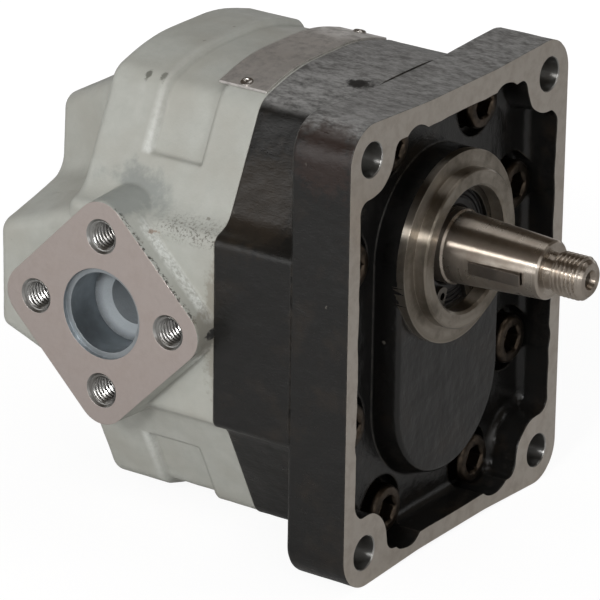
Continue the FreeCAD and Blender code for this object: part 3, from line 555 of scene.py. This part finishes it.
# %% Cored passage
PASSAGE_START, PASSAGE_DEEP = 54.2, 53.0
cored_iron, tree, surface = material_with("Cored_iron", Specular_IOR_Level=0.35, Roughness=0.62)
spot = own_place(tree)
skin = use(tree, cast_skin, Place=spot, Grain=0.7, Lump=4.0, Grain_share=0.5)
tone = remap(tree, skin["Mottle"], 0.35, 0.65)
colour = blend_colours(tree, tone, srgb(112, 117, 121), srgb(92, 96, 99))
inward = calc(tree, "ABSOLUTE", parts_of(tree, spot)[1])
# Painted light: deeper in the passage the iron is painted lighter, as if lit.
painted_light_deep = band(tree, inward, PASSAGE_START, PASSAGE_DEEP)
colour = blend_colours(tree, painted_light_deep, colour, srgb(160, 166, 170))
feed(tree, surface, Base_Color=colour, Normal=bump(tree, skin["Height"], 0.25))
print("material:", cored_iron.name)


# %% [markdown]
# ## Bare metals
# Machined faces keep the circles of the cutter, shafts keep the lines of the grinding wheel, and
# both oxidise unevenly. A metal with a plain colour looks like plastic foil; what sells it is the
# change of gloss from place to place, so every metal gets its own marks, stains and soft edges.

# %% Metal helpers
def across_marks(tree, place):
    """The direction across the marks: along X on a shaft, away from the axis on a turned face."""
    _, y, z = parts_of(tree, place)
    flat_on = calc(tree, "ABSOLUTE", parts_of(tree, own_normal(tree))[0])
    level = put(tree, "ShaderNodeCombineXYZ", {0: 0.0, 1: y, 2: z}).outputs[0]
    outward = scaled(tree, vector_of(tree, "NORMALIZE", level), flat_on)
    along = put(tree, "ShaderNodeCombineXYZ", {0: calc(tree, "SUBTRACT", 1.0, flat_on)}).outputs[0]
    return vector_of(tree, "NORMALIZE", vector_of(tree, "ADD", outward, along))


def machined(name, light, dark, gloss, spacing, depth, origin=(0, 0, 0), turn=(0, 0, 0),
             stain_share=0.5, stain_mm=9.0, edge=0.3, bands=0.5, streak=0.0, metallic=1.0):
    """Metal with cutter or grinding marks round an axis along X, after a shift and a turn."""
    material, tree, surface = material_with(name, Metallic=metallic, Anisotropic=streak)
    spot = own_place(tree)
    moved = vector_of(tree, "SUBTRACT", spot, [v * MM for v in origin])
    place = put(tree, "ShaderNodeMapping", {"Vector": moved, "Rotation": turn}).outputs[0]
    marks = use(tree, turned_marks, Place=place, Spacing=spacing)
    edges = use(tree, edge_wear, Width=edge, Break_up=2.0, Strength=0.8)
    patch = remap(tree, noise_of(tree, spot, stain_mm, 5.0, 0.6), 0.42, 0.66, 0.0, stain_share)
    banded = remap(tree, marks["Shade"], 0.45, 0.7, 0.0, stain_share * bands)
    patch = calc(tree, "MAXIMUM", patch, banded)
    colour = blend_colours(tree, patch, srgb(*light), srgb(*dark))
    # Edges take a brighter colour: wear, and a painted edge highlight.
    painted_highlight = [min(1.0, v * 1.3) for v in srgb(*light)]
    colour = blend_colours(tree, edges["Mask"], colour, painted_highlight)
    feed(tree, surface, Base_Color=colour,
         Roughness=remap(tree, patch, 0.0, stain_share, *gloss),
         Normal=bump(tree, marks["Height"], depth, edges["Normal"]))
    if streak:
        feed(tree, surface, Tangent=across_marks(tree, place))
    return material


print("metal helpers ready")

# %% Metals of the flange and the ports
QUARTER = math.pi / 2
PORT_AXIS = {"origin": (PORT_X, 0, PORT_Z), "turn": (0, 0, -QUARTER)}
flange_face = machined("Machined_flange_face", (200, 193, 184), (180, 171, 161), (0.38, 0.5),
                       0.5, 0.01, stain_share=0.6, stain_mm=5.0, bands=0.2)
pilot_steel = machined("Turned_pilot", (160, 152, 141), (96, 88, 76), (0.28, 0.36),
                       0.35, 0.006, stain_share=0.7, streak=1.0)
bore_steel = machined("Drilled_steel", (176, 176, 174), (90, 80, 70), (0.28, 0.4),
                      0.4, 0.01, streak=0.9)
port_face = machined("Machined_port_face", (200, 189, 184), (180, 168, 162), (0.4, 0.5),
                     0.45, 0.01, stain_mm=7.0, bands=0.25, **PORT_AXIS)
port_bore = machined("Bored_port", (172, 178, 182), (124, 128, 132), (0.4, 0.55),
                     0.4, 0.012, **PORT_AXIS)
print("materials so far:", len(bpy.data.materials))

# %% Metals of the shafts and small parts
GEAR_GAP = 43.1
shaft_steel = machined("Ground_shaft_steel", (190, 181, 170), (120, 99, 80), (0.27, 0.34),
                       0.22, 0.003, stain_share=0.4, streak=1.0)
gear_steel = machined("Ground_gear_steel", (205, 205, 205), (150, 146, 140), (0.16, 0.3),
                      0.25, 0.004, origin=(0, 0, -GEAR_GAP), streak=0.6)
key_steel = machined("Key_steel", (150, 142, 134), (98, 86, 76), (0.3, 0.45), 0.6, 0.01)
block_alloy = machined("Gear_block_alloy", (196, 198, 200), (160, 162, 164), (0.3, 0.42),
                       0.4, 0.008)
bronze = machined("Bush_bronze", (196, 152, 96), (150, 106, 62), (0.28, 0.42), 0.4, 0.006)
spring_steel = machined("Spring_steel", (112, 108, 102), (58, 53, 48), (0.25, 0.42), 0.5, 0.006)
screw_black = machined("Black_oxide_screw", (82, 72, 62), (36, 34, 32), (0.32, 0.46),
                       0.5, 0.008, stain_share=0.7, stain_mm=3.0, edge=0.5)
plate_alloy = machined("Worn_nameplate", (216, 212, 208), (126, 122, 119), (0.34, 0.55),
                       0.7, 0.01, stain_share=0.6, stain_mm=4.0, metallic=0.75)
rivet_alloy = machined("Rivet_alloy", (196, 192, 188), (120, 114, 108), (0.2, 0.36), 0.4, 0.006)
print("materials so far:", len(bpy.data.materials))


# %% [markdown]
# ## Rubber and plastic
# Seals are moulded: nearly even in colour, and a little dull where they were dusted with talc.
# The pressed case of the shaft seal is dipped in the same rubber and shows the rings of its
# mould. Rings could be modelled, but at this depth a bump is enough.

# %% Soft materials
def moulded(name, light, dark, gloss, cell_mm, depth, rings=0.0):
    """Rubber or plastic with an even skin, a cloudy gloss and, where asked, moulded rings."""
    material, tree, surface = material_with(name)
    spot = own_place(tree)
    skin = use(tree, cast_skin, Place=spot, Grain=cell_mm, Lump=cell_mm * 9, Grain_share=0.6)
    tone = remap(tree, skin["Mottle"], 0.35, 0.65)
    colour = blend_colours(tree, tone, srgb(*light), srgb(*dark))
    normal = bump(tree, skin["Height"], depth)
    if rings:
        radius = use(tree, turned_marks, Place=spot, Spacing=1.0)["Radius"]
        ridge = calc(tree, "SINE", times(tree, radius, 2 * math.pi / (rings * MM)))
        normal = bump(tree, ridge, 0.25, normal)
    feed(tree, surface, Base_Color=colour, Normal=normal,
         Roughness=remap(tree, skin["Mottle"], 0.35, 0.65, *gloss))
    return material


seal_rubber = moulded("Seal_rubber", (40, 39, 40), (26, 25, 26), (0.3, 0.5), 0.5, 0.03)
case_rubber = moulded("Seal_case_rubber", (40, 39, 40), (26, 25, 26), (0.28, 0.45), 0.5, 0.03,
                      rings=1.5)
backup_plastic = moulded("Backup_plastic", (226, 220, 204), (206, 198, 180), (0.35, 0.5),
                         0.8, 0.02)
print("soft materials:", seal_rubber.name, case_rubber.name, backup_plastic.name)


# %% [markdown]
# ## Castings: cast first, then machine
# A foundry pours the flange and the housing with wavy skins, and a mill then cuts a few faces
# truly flat. The same order works on a mesh: copy the CAD solid, weld and divide it, sink its cast
# skin by a slow noise, and leave every vertex that a cutter touched. The smooth shading that the
# CAD gave each corner is carried along, so that round walls stay round.

# %% Mesh helpers
SHADING = "cad_normal"
WELD, SLIVER = 0.002 * MM, 0.001 * MM


def welded_copy(node):
    """A bmesh of a CAD node, welded, that remembers the shading of every corner."""
    mesh = nodes[node].data.copy()
    normals = [0.0] * (3 * len(mesh.loops))
    mesh.corner_normals.foreach_get("vector", normals)
    stored = mesh.attributes.new(SHADING, "FLOAT_VECTOR", "CORNER")
    stored.data.foreach_set("vector", normals)
    bm = bmesh.new()
    bm.from_mesh(mesh)
    bpy.data.meshes.remove(mesh)
    bmesh.ops.remove_doubles(bm, verts=bm.verts, dist=WELD)
    bmesh.ops.dissolve_degenerate(bm, edges=bm.edges, dist=SLIVER)
    return bm


def divide(bm, longest):
    """Splits edges, in a few rounds, until none is longer than longest millimetres."""
    for _ in range(8):
        long_edges = [e for e in bm.edges if e.calc_length() > longest * MM]
        if not long_edges:
            return
        bmesh.ops.subdivide_edges(bm, edges=long_edges, cuts=1)
        bmesh.ops.triangulate(bm, faces=[f for f in bm.faces if len(f.verts) > 3])


def shaded_mesh(name, bm, finishes):
    """Turns a bmesh into a mesh with the remembered shading and its finishes."""
    mesh = bpy.data.meshes.new(name)
    bm.to_mesh(mesh)
    bm.free()
    normals = [Vector(corner.vector).normalized() for corner in mesh.attributes[SHADING].data]
    mesh.shade_smooth()
    mesh.normals_split_custom_set(normals)
    mesh.attributes.remove(mesh.attributes[SHADING])
    for finish in finishes:
        mesh.materials.append(finish)
    return mesh


print("mesh helpers ready")

# %% Casting helpers
FACET, SEED = 5.0, 1
WAVE, RAGGED, RAGGED_SHIFT = 9, 6, 0.5
noise.seed_set(SEED)  # without a seed, noise_vector would start from the clock


def cast_and_machine(name, node, finish_of, finishes, sink, rough_edge=None):
    """Copies a CAD casting, gives each face its finish and sinks the cast skin by a slow noise."""
    bm = welded_copy(node)
    divide(bm, FACET)
    bm.normal_update()
    for face in bm.faces:
        face.material_index = finish_of(face.calc_center_median() / MM)
    for vert in bm.verts:
        kinds = {face.material_index for face in vert.link_faces}
        if kinds == {0}:
            slow = noise.fractal(vert.co / (WAVE * MM), 0.6, 2.0, 3)
            vert.co -= vert.normal * sink * MM * (0.5 + 0.5 * max(-1.0, min(1.0, slow)))
        elif rough_edge and 0 in kinds and rough_edge(vert.co / MM):
            shift = noise.noise_vector(vert.co / (RAGGED * MM)) * RAGGED_SHIFT * MM
            vert.co += Vector((0, shift.y, shift.z))
    piece = linked(name, shaded_mesh(name, bm, finishes))
    print(name, "faces:", len(piece.data.polygons))
    return piece


def near_axis(first, second, centres):
    """The distance to the nearest of several axes, each given by its two coordinates."""
    return min(math.hypot(first - a, second - b) for a, b in centres)


def placed(piece, body, slot, *replaced):
    """Hands a piece to its body and hides the CAD nodes that it stands for; slot is not used."""
    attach(piece, body)
    for node in replaced:
        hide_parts(node)


# %% Flange casting
BOLT_Y, BOLT_Z = 98.4 / 2, 128.1 / 2
BOLTS = [(y * BOLT_Y, PORT_Z + z * BOLT_Z) for y in (-1, 1) for z in (-1, 1)]
BOLT_HOLE_R, PILOT_R, NOSE_BORE_R, RING_R = 5.85, 25.5, 22.0, 30.71
RING_X, NOSE_BORE_END, FLANGE_JOINT, HAIR = -2.79, -49.0, -49.4, 0.01
RIM_Y, RIM_Z, CLEAR_OF_RING, CLEAR_OF_HOLE = PLATE_Y - 3, PLATE_Z - 3.5, 33, 7


def flange_finish(place):
    """0 paint, 1 milled face, 2 turned pilot and ring, 3 drilled."""
    x, y, z = place
    from_axis = math.hypot(y, z)
    if near_axis(y, z, BOLTS) < BOLT_HOLE_R:
        return 3
    if from_axis < PILOT_R and x > HAIR:
        return 2
    if from_axis < NOSE_BORE_R and x > NOSE_BORE_END:
        return 3
    if from_axis < RING_R and x > RING_X:
        return 2
    return 1 if x > -HAIR or x < FLANGE_JOINT else 0


def pocket_edge(place):
    """True on the cast edge of the pocket, which the mill cut through."""
    x, y, z = place
    inside = abs(y) < RIM_Y and abs(z - PORT_Z) < RIM_Z
    clear = math.hypot(y, z) > CLEAR_OF_RING and near_axis(y, z, BOLTS) > CLEAR_OF_HOLE
    return x > -HAIR and inside and clear


flange = cast_and_machine("Flange_casting", "front_flange", flange_finish,
                          (black_paint, flange_face, pilot_steel, bore_steel), 0.16, pocket_edge)
placed(flange, "housing", "black_paint", "front_flange")

# %% Housing casting
PORT_BOLTS = [(PORT_X + 25.5 * math.cos(i * QUARTER), PORT_Z + 25.5 * math.sin(i * QUARTER))
              for i in range(4)]
PORT_HOLE_R, PORT_BORE_R, PORT_FLOOR_R, PASSAGE_R = 5.75, 14.9, 12.6, 8.9
BOSS_INSIDE_Y, PORT_FLOOR_Y, PORT_FACE_Y = 48, 54.8, 68.3
HOUSING_JOINT, GEAR_BORE_R, GEAR_BORE_END = -49.6, 24.9, -118.8


def housing_finish(place):
    """0 paint, 1 port face, 2 port bore, 3 drilled or bored inside, 4 cored passage."""
    x, y, z = place
    from_port = math.hypot(x - PORT_X, z - PORT_Z)
    if abs(y) > BOSS_INSIDE_Y:
        if near_axis(x, z, PORT_BOLTS) < PORT_HOLE_R:
            return 3
        if from_port < PORT_BORE_R:
            return 4 if abs(y) < PORT_FLOOR_Y and from_port < PORT_FLOOR_R else 2
        if abs(y) > PORT_FACE_Y:
            return 1
    if x > HOUSING_JOINT:
        return 3
    if from_port < PASSAGE_R:
        return 4
    in_bores = near_axis(y, z, ((0, 0), (0, -GEAR_GAP))) < GEAR_BORE_R
    return 3 if x > GEAR_BORE_END and in_bores else 0


housing = cast_and_machine("Housing_casting", "gear_housing", housing_finish,
                           (grey_paint, port_face, port_bore, bore_steel, cored_iron), 0.14)
placed(housing, "housing", "grey_paint", "gear_housing")

# %% [markdown]
# ## Threads, screws and coils
# Turned parts repeat one outline all the way round, and threads, knurls and hexagon sockets only
# change the radius with the angle. They could be modelled one by one; one lathe in Geometry
# Nodes does them all: each station of the outline says how deep its thread, knurl or hexagon is.

# %% Geometry Nodes helpers
def stored_vector(tree, name):
    """A vector attribute that the mesh carries."""
    node = put(tree, "GeometryNodeInputNamedAttribute", {"Name": name}, data_type="FLOAT_VECTOR")
    return node.outputs[0]


def round_axis(tree, along, radius, angle):
    """A place from its distance along X, its radius and its angle round X."""
    return put(tree, "ShaderNodeCombineXYZ", {
        0: along, 1: times(tree, radius, calc(tree, "COSINE", angle)),
        2: times(tree, radius, calc(tree, "SINE", angle))}).outputs[0]


def hand_over(tree, geometry, finish, result):
    """Ends a tree with real geometry that has its material."""
    real = put(tree, "GeometryNodeRealizeInstances", {0: geometry}).outputs[0]
    done = put(tree, "GeometryNodeSetMaterial", {"Geometry": real, "Material": finish}).outputs[0]
    feed(tree, result, Geometry=done)


print("geometry helpers ready")

# %% Lathe: a grid whose rows follow the outline
lathe, given, result = group_of(
    "Lathe", {"Outline": "Geometry", "Sides": 32, "Pitch": 1.5, "Finish": "Material"},
    {"Geometry": "Geometry"}, "GeometryNodeTree")
tree = lathe
stations = put(tree, "GeometryNodeAttributeDomainSize", {0: given["Outline"]},
               component="MESH").outputs["Point Count"]
grid = put(tree, "GeometryNodeMeshGrid", {"Vertices X": calc(tree, "ADD", given["Sides"], 1),
                                          "Vertices Y": stations}).outputs["Mesh"]
index = put(tree, "GeometryNodeInputIndex").outputs[0]
column = calc(tree, "FLOOR", calc(tree, "DIVIDE", index, stations))
row = calc(tree, "SUBTRACT", index, times(tree, column, stations))
turn = calc(tree, "DIVIDE", column, given["Sides"])
angle = times(tree, turn, 2 * math.pi)
position = put(tree, "GeometryNodeInputPosition").outputs[0]
outline, details = (
    put(tree, "GeometryNodeSampleIndex", {"Geometry": given["Outline"], "Value": value,
                                          "Index": row},
        data_type="FLOAT_VECTOR", domain="POINT").outputs[0]
    for value in (position, stored_vector(tree, "shape")))
along, radius, cap = parts_of(tree, outline)
hexed, knurled, threaded = parts_of(tree, details)
print("lathe grid nodes:", len(tree.nodes))

# %% Lathe: hexagon, knurl and thread
within = calc(tree, "SUBTRACT", calc(tree, "MODULO", angle, math.pi / 3), math.pi / 6)
flat = calc(tree, "DIVIDE", radius, calc(tree, "COSINE", within))
radius = put(tree, "ShaderNodeMix", {0: hexed, 2: radius, 3: flat}).outputs[0]
tooth = times(tree, knurled, calc(tree, "PINGPONG", column, 1.0))
radius = calc(tree, "SUBTRACT", radius, tooth)
pitches = calc(tree, "DIVIDE", along, times(tree, given["Pitch"], MM))
wave = calc(tree, "PINGPONG", calc(tree, "SUBTRACT", pitches, turn), 0.5)
groove = times(tree, threaded, remap(tree, times(tree, wave, 2.0), 0.1, 0.85))
radius = calc(tree, "MINIMUM", calc(tree, "SUBTRACT", radius, groove), cap)
place = round_axis(tree, along, radius, angle)
rolled = put(tree, "GeometryNodeSetPosition", {"Geometry": grid, "Position": place}).outputs[0]
closed = put(tree, "GeometryNodeMergeByDistance", {"Geometry": rolled, "Distance": SLIVER})
hand_over(tree, closed.outputs[0], given["Finish"], result)
print("lathe nodes:", len(tree.nodes))

# %% Growing a mesh
SHARP = math.radians(34)


def grown(name, tree, mesh, **inputs):
    """Runs a Geometry Nodes tree on a mesh and keeps the result as a plain mesh."""
    carrier = linked(name + "_carrier", mesh)
    modifier = carrier.modifiers.new("Grow", "NODES")
    modifier.node_group = tree
    for item in tree.interface.items_tree:
        if item.in_out == "INPUT" and item.name in inputs:
            modifier[item.identifier] = inputs[item.name]
    evaluated = carrier.evaluated_get(bpy.context.evaluated_depsgraph_get())
    result = bpy.data.meshes.new_from_object(evaluated)
    result.name = name
    bpy.data.objects.remove(carrier)
    bm = bmesh.new()
    bm.from_mesh(result)
    bmesh.ops.recalc_face_normals(bm, faces=bm.faces)
    bm.to_mesh(result)
    bm.free()
    result.shade_smooth()
    result.set_sharp_from_angle(angle=SHARP)
    return result


print("a tree becomes a mesh")

# %% Outlines for the lathe
FREE = 1000.0


def station(along, radius, hexed=0.0, knurled=0.0, threaded=0.0, cap=FREE):
    """One point of an outline: millimetres along the axis and from it, and what it carries."""
    return Vector((along, radius, cap)) * MM, (hexed, knurled * MM, threaded * MM)


def turned_part(name, outline, sides, finish, pitch=1.5):
    """Lathes a list of stations into a closed mesh round the X axis."""
    stations = [station(*numbers) for numbers in outline]
    mesh = bpy.data.meshes.new(name + "_outline")
    edges = [(i, i + 1) for i in range(len(stations) - 1)]
    mesh.from_pydata([place for place, _ in stations], edges, [])
    shape = mesh.attributes.new("shape", "FLOAT_VECTOR", "POINT")
    shape.data.foreach_set("vector", [v for _, detail in stations for v in detail])
    return grown(name, lathe, mesh, Sides=sides, Pitch=pitch, Finish=finish)


def threaded_run(start, end, radius, depth, step, cap_of=None):
    """Stations of a thread between two places, step millimetres apart."""
    count = max(2, round(abs(end - start) / step))
    places = [start + (end - start) * i / count for i in range(count + 1)]
    return [(x, radius, 0, 0, depth, cap_of(x) if cap_of else FREE) for x in places]


print("outline helpers ready")

# %% Scatter in Geometry Nodes
scatter, given, result = group_of(
    "Scatter", {"Places": "Geometry", "Part": "Object", "Finish": "Material"},
    {"Geometry": "Geometry"}, "GeometryNodeTree")
tree = scatter
part = put(tree, "GeometryNodeObjectInfo", {"Object": given["Part"]}).outputs["Geometry"]
points = put(tree, "GeometryNodeMeshToPoints", {"Mesh": given["Places"]}).outputs[0]
copies = put(tree, "GeometryNodeInstanceOnPoints", {
    "Points": points, "Instance": part, "Rotation": stored_vector(tree, "turn")})
hand_over(tree, copies.outputs[0], given["Finish"], result)


def scattered(name, mesh, places, finish):
    """One mesh with a copy at each place: its spot, and the way the part's X axis points."""
    part = linked(name + "_part", mesh)
    spots = bpy.data.meshes.new(name + "_places")
    spots.from_pydata([Vector(spot) * MM for spot, _ in places], [], [])
    turns = [v for _, axis in places for v in Vector(axis).to_track_quat("X", "Z").to_euler()]
    spots.attributes.new("turn", "FLOAT_VECTOR", "POINT").data.foreach_set("vector", turns)
    result = grown(name, scatter, spots, Part=part, Finish=finish)
    bpy.data.objects.remove(part)
    return result


print("scatter nodes:", len(tree.nodes))

# %% [markdown]
# ## The shaft's thread
# The nut that holds a pulley on the taper runs on an M14x1.5 thread. The CAD shaft has it as a
# plain cylinder; here its skin is turned down a little and a cut thread is slipped over the core.

# %% Shaft thread
SHAFT_CORE, SHAFT_INSIDE, SHAFT_NECK = 5.2, 5.1, 5.9
SHAFT_THREAD_R, SHAFT_THREAD_DEPTH = 7.0, 0.92
THREAD_START, THREAD_TOP, THREAD_END, SHAFT_END = 36.3, 37.2, 45.6, 47.4


def thread_cap(x):
    """The turned outline that the thread is cut into: two chamfers and a cylinder."""
    if x < THREAD_TOP:
        return SHAFT_NECK + (x - THREAD_START + 0.2)
    if x > THREAD_END:
        return SHAFT_THREAD_R - (x - THREAD_END)
    return SHAFT_THREAD_R


outline = [(THREAD_START, SHAFT_INSIDE), (THREAD_START, SHAFT_NECK)]
outline += threaded_run(THREAD_START + 0.1, SHAFT_END - 0.1, SHAFT_THREAD_R,
                        SHAFT_THREAD_DEPTH, 0.18, thread_cap)
outline += [(SHAFT_END, SHAFT_CORE), (SHAFT_END, SHAFT_INSIDE), outline[0]]
shaft_thread = linked("Shaft_thread", turned_part("Shaft_thread", outline, 96, shaft_steel))
placed(shaft_thread, "drive_gear", "ground_steel")
print("thread faces:", len(shaft_thread.data.polygons))

# %% Shaft under the thread
bm = welded_copy("drive_gear_shaft")
for vert in bm.verts:
    reach = math.hypot(vert.co.y, vert.co.z)
    if vert.co.x > (THREAD_START - 0.3) * MM and reach > SHAFT_CORE * MM:
        vert.co.y *= SHAFT_CORE * MM / reach
        vert.co.z *= SHAFT_CORE * MM / reach
shaft = linked("Threaded_shaft", shaded_mesh("Threaded_shaft", bm, (shaft_steel,)))
placed(shaft, "drive_gear", "ground_steel", "drive_gear_shaft")
print("shaft faces:", len(shaft.data.polygons))

# %% [markdown]
# ## Tapped holes in the port faces
# Each port face has four M10 holes for a hose flange. A thread is hard to see from the front, but
# light catches its crests as a stack of bright crescents, so it is real geometry and not a
# texture: a thin threaded sleeve in each hole.

# %% Port threads
SLEEVE_R, CREST_R, GROOVE = 4.98, 4.9, 0.78
SLEEVE_TOP, SLEEVE_END, PORT_FACE = 0.55, 18.95, 68.35
outline = [(SLEEVE_TOP, SLEEVE_R), (SLEEVE_TOP, CREST_R)]
outline += threaded_run(0.7, 18.8, CREST_R, GROOVE, 0.19)
outline += [(SLEEVE_END, CREST_R), (SLEEVE_END, SLEEVE_R), outline[0]]
hole_thread = turned_part("Hole_thread", outline, 48, bore_steel)
places = [((x, side * PORT_FACE, z), (0, -side, 0)) for side in (-1, 1) for x, z in PORT_BOLTS]
port_threads = linked("Port_threads",
                      scattered("Port_threads", hole_thread, places, bore_steel))
placed(port_threads, "housing", "ground_steel")
print("port thread faces:", len(port_threads.data.polygons))

# %% [markdown]
# ## Socket-head screws
# Eight black screws hold the flange to the housing. Their heads are knurled round the side and
# worn bright at the edges. The shank and its thread are hidden, yet the whole screw is built,
# since it can be taken out of the motor.

# %% One screw
HEX_HALF, HEAD_R, KNURL, SHANK_R = 4.0, 8.0, 0.28, 4.9
head = [(-5.6, 0), (-5.0, HEX_HALF, 1), (-0.6, HEX_HALF, 1), (0, HEX_HALF + 0.9), (0, 6.7),
        (-0.15, 7.15), (-0.5, 7.6), (-1.1, 7.9), (-1.6, HEAD_R), (-1.9, HEAD_R, 0, KNURL),
        (-9.0, HEAD_R, 0, KNURL), (-9.3, HEAD_R), (-10, HEAD_R), (-10, 0)]
shank = [(-9.7, 0), (-9.7, SHANK_R), (-35.0, SHANK_R)]
shank += threaded_run(-35.2, -59.0, 4.97, 0.85, 0.25)
shank += [(-59.2, 4.0), (-60, 3.6), (-60, 0)]
bm = bmesh.new()
for name, outline, sides in (("Screw_head", head, 120), ("Screw_shank", shank, 28)):
    bm.from_mesh(turned_part(name, outline, sides, screw_black))
one_screw = bpy.data.meshes.new("One_screw")
bm.to_mesh(one_screw)
bm.free()
print("faces of one screw:", len(one_screw.polygons))

# %% Eight screws
SCREW_TOP = -8.0
SIDE_Y, SIDE_Z, END_Y, TOP_Z, LOW_Z = 45.2, 26.2, 24.7, 59.2, 60.7
ONE_SIDE = ((SIDE_Y, SIDE_Z), (SIDE_Y, -SIDE_Z), (END_Y, TOP_Z), (END_Y, -LOW_Z))
places = [((SCREW_TOP, side * y, PORT_Z + z), (1, 0, 0)) for side in (-1, 1) for y, z in ONE_SIDE]
screws = linked("Socket_screws", scattered("Socket_screws", one_screw, places, screw_black))
placed(screws, "housing", "black_screw", "flange_screws")
print("screw faces:", len(screws.data.polygons))

# %% [markdown]
# ## Hollow rivets
# Two hollow drive rivets pin the nameplate to the arch. A plain disc would do from afar, but the
# dark hole in each head tells the eye that it is a rivet, so the lathe turns it as well.

# %% Rivets
PLATE_X, PLATE_HALF, PLATE_T, RIVET_INSET, RIVET_R = -59.3, 32.5, 0.8, 2.2, 1.59
FLAT_Y, FLAT_Z, CORNER_Y, CORNER_Z = 17.0, 73.9, 36.2, 68.4
slope = math.atan2(FLAT_Z - CORNER_Z, CORNER_Y - FLAT_Y)
rivet_y = PLATE_HALF - RIVET_INSET
rivet_z = PORT_Z + FLAT_Z - (rivet_y - FLAT_Y) * math.tan(slope)
rivet = [(-3.95, 0), (-3.95, RIVET_R), (PLATE_T, RIVET_R), (PLATE_T, 2.1), (1.15, 2.1),
         (1.45, 1.85), (1.64, 1.4), (1.6, 1.05), (1.3, 0.8), (1.1, 0.75), (1.1, 0)]
one_rivet = turned_part("One_rivet", rivet, 32, rivet_alloy)
places = [((PLATE_X, side * rivet_y, rivet_z), (0, side * math.sin(slope), math.cos(slope)))
          for side in (-1, 1)]
rivets = linked("Hollow_rivets", scattered("Hollow_rivets", one_rivet, places, rivet_alloy))
placed(rivets, "housing", "rivet_alloy", "nameplate_rivets")
print("rivet faces:", len(rivets.data.polygons))

# %% [markdown]
# ## Garter spring
# A closed coil spring presses the seal lip on the shaft. The CAD ring has its outside size; here a
# curve winds round that ring and a thin wire follows it.

# %% Coil in Geometry Nodes
coil, given, result = group_of(
    "Garter_coil", {"Carrier": "Geometry", "Turns": 150, "Steps": 9, "Ring": 15.4,
                    "Coil": 0.58, "Wire": 0.12, "Middle": -8.2, "Finish": "Material"},
    {"Geometry": "Geometry"}, "GeometryNodeTree")
tree = coil
count = times(tree, given["Turns"], given["Steps"])
line = put(tree, "GeometryNodeMeshLine", {"Count": count}).outputs[0]
share = calc(tree, "DIVIDE", put(tree, "GeometryNodeInputIndex").outputs[0], count)
around = times(tree, share, 2 * math.pi)
winding = times(tree, around, given["Turns"])
reach, along = (
    times(tree, calc(tree, "MULTIPLY_ADD", calc(tree, wave, winding), given["Coil"], centre), MM)
    for wave, centre in (("SINE", given["Ring"]), ("COSINE", given["Middle"])))
place = round_axis(tree, along, reach, around)
wound = put(tree, "GeometryNodeSetPosition", {"Geometry": line, "Position": place}).outputs[0]
curve = put(tree, "GeometryNodeMeshToCurve", {"Mesh": wound}).outputs[0]
curve = put(tree, "GeometryNodeSetSplineCyclic", {"Geometry": curve, "Cyclic": True}).outputs[0]
wire = put(tree, "GeometryNodeCurvePrimitiveCircle",
           {"Resolution": 6, "Radius": times(tree, given["Wire"], MM)}).outputs["Curve"]
solid = put(tree, "GeometryNodeCurveToMesh", {"Curve": curve, "Profile Curve": wire}).outputs[0]
hand_over(tree, solid, given["Finish"], result)
print("coil nodes:", len(tree.nodes))

# %% Garter spring
carrier = bpy.data.meshes.new("Spring_carrier")
spring = linked("Garter_spring", grown("Garter_spring", coil, carrier, Finish=spring_steel))
placed(spring, "housing", "spring_steel", "seal_garter_spring")
print("spring faces:", len(spring.data.polygons))

# %% [markdown]
# ## The pieces that stay as CAD
# Gears, bearing blocks, bushes and seals are smooth, so their CAD shape is already right. They
# could be left grey, since the castings hide them, but each gets the material that it is made
# of, so that an opened motor looks right too.

# %% Materials on the CAD nodes
FINISH = {
    gear_steel: ["driven_gear_shaft", "dowel_pins"],
    key_steel: ["woodruff_key"],
    block_alloy: ["front_bearing_block", "rear_bearing_block"],
    bronze: ["front_drive_bush", "front_driven_bush", "rear_drive_bush", "rear_driven_bush",
             "support_bush"],
    seal_rubber: ["front_balance_seal", "rear_balance_seal", "housing_seal_ring",
                  "shaft_seal_lip"],
    case_rubber: ["shaft_seal_case"],
    backup_plastic: ["front_backup_ring", "rear_backup_ring"],
    spring_steel: ["seal_spacer_ring", "seal_retaining_ring"],
    plate_alloy: ["nameplate"],
}
for finish, names in FINISH.items():
    for name in names:
        for material_slot in nodes[name].material_slots:
            material_slot.material = finish
print("finished CAD nodes:", sum(len(names) for names in FINISH.values()))
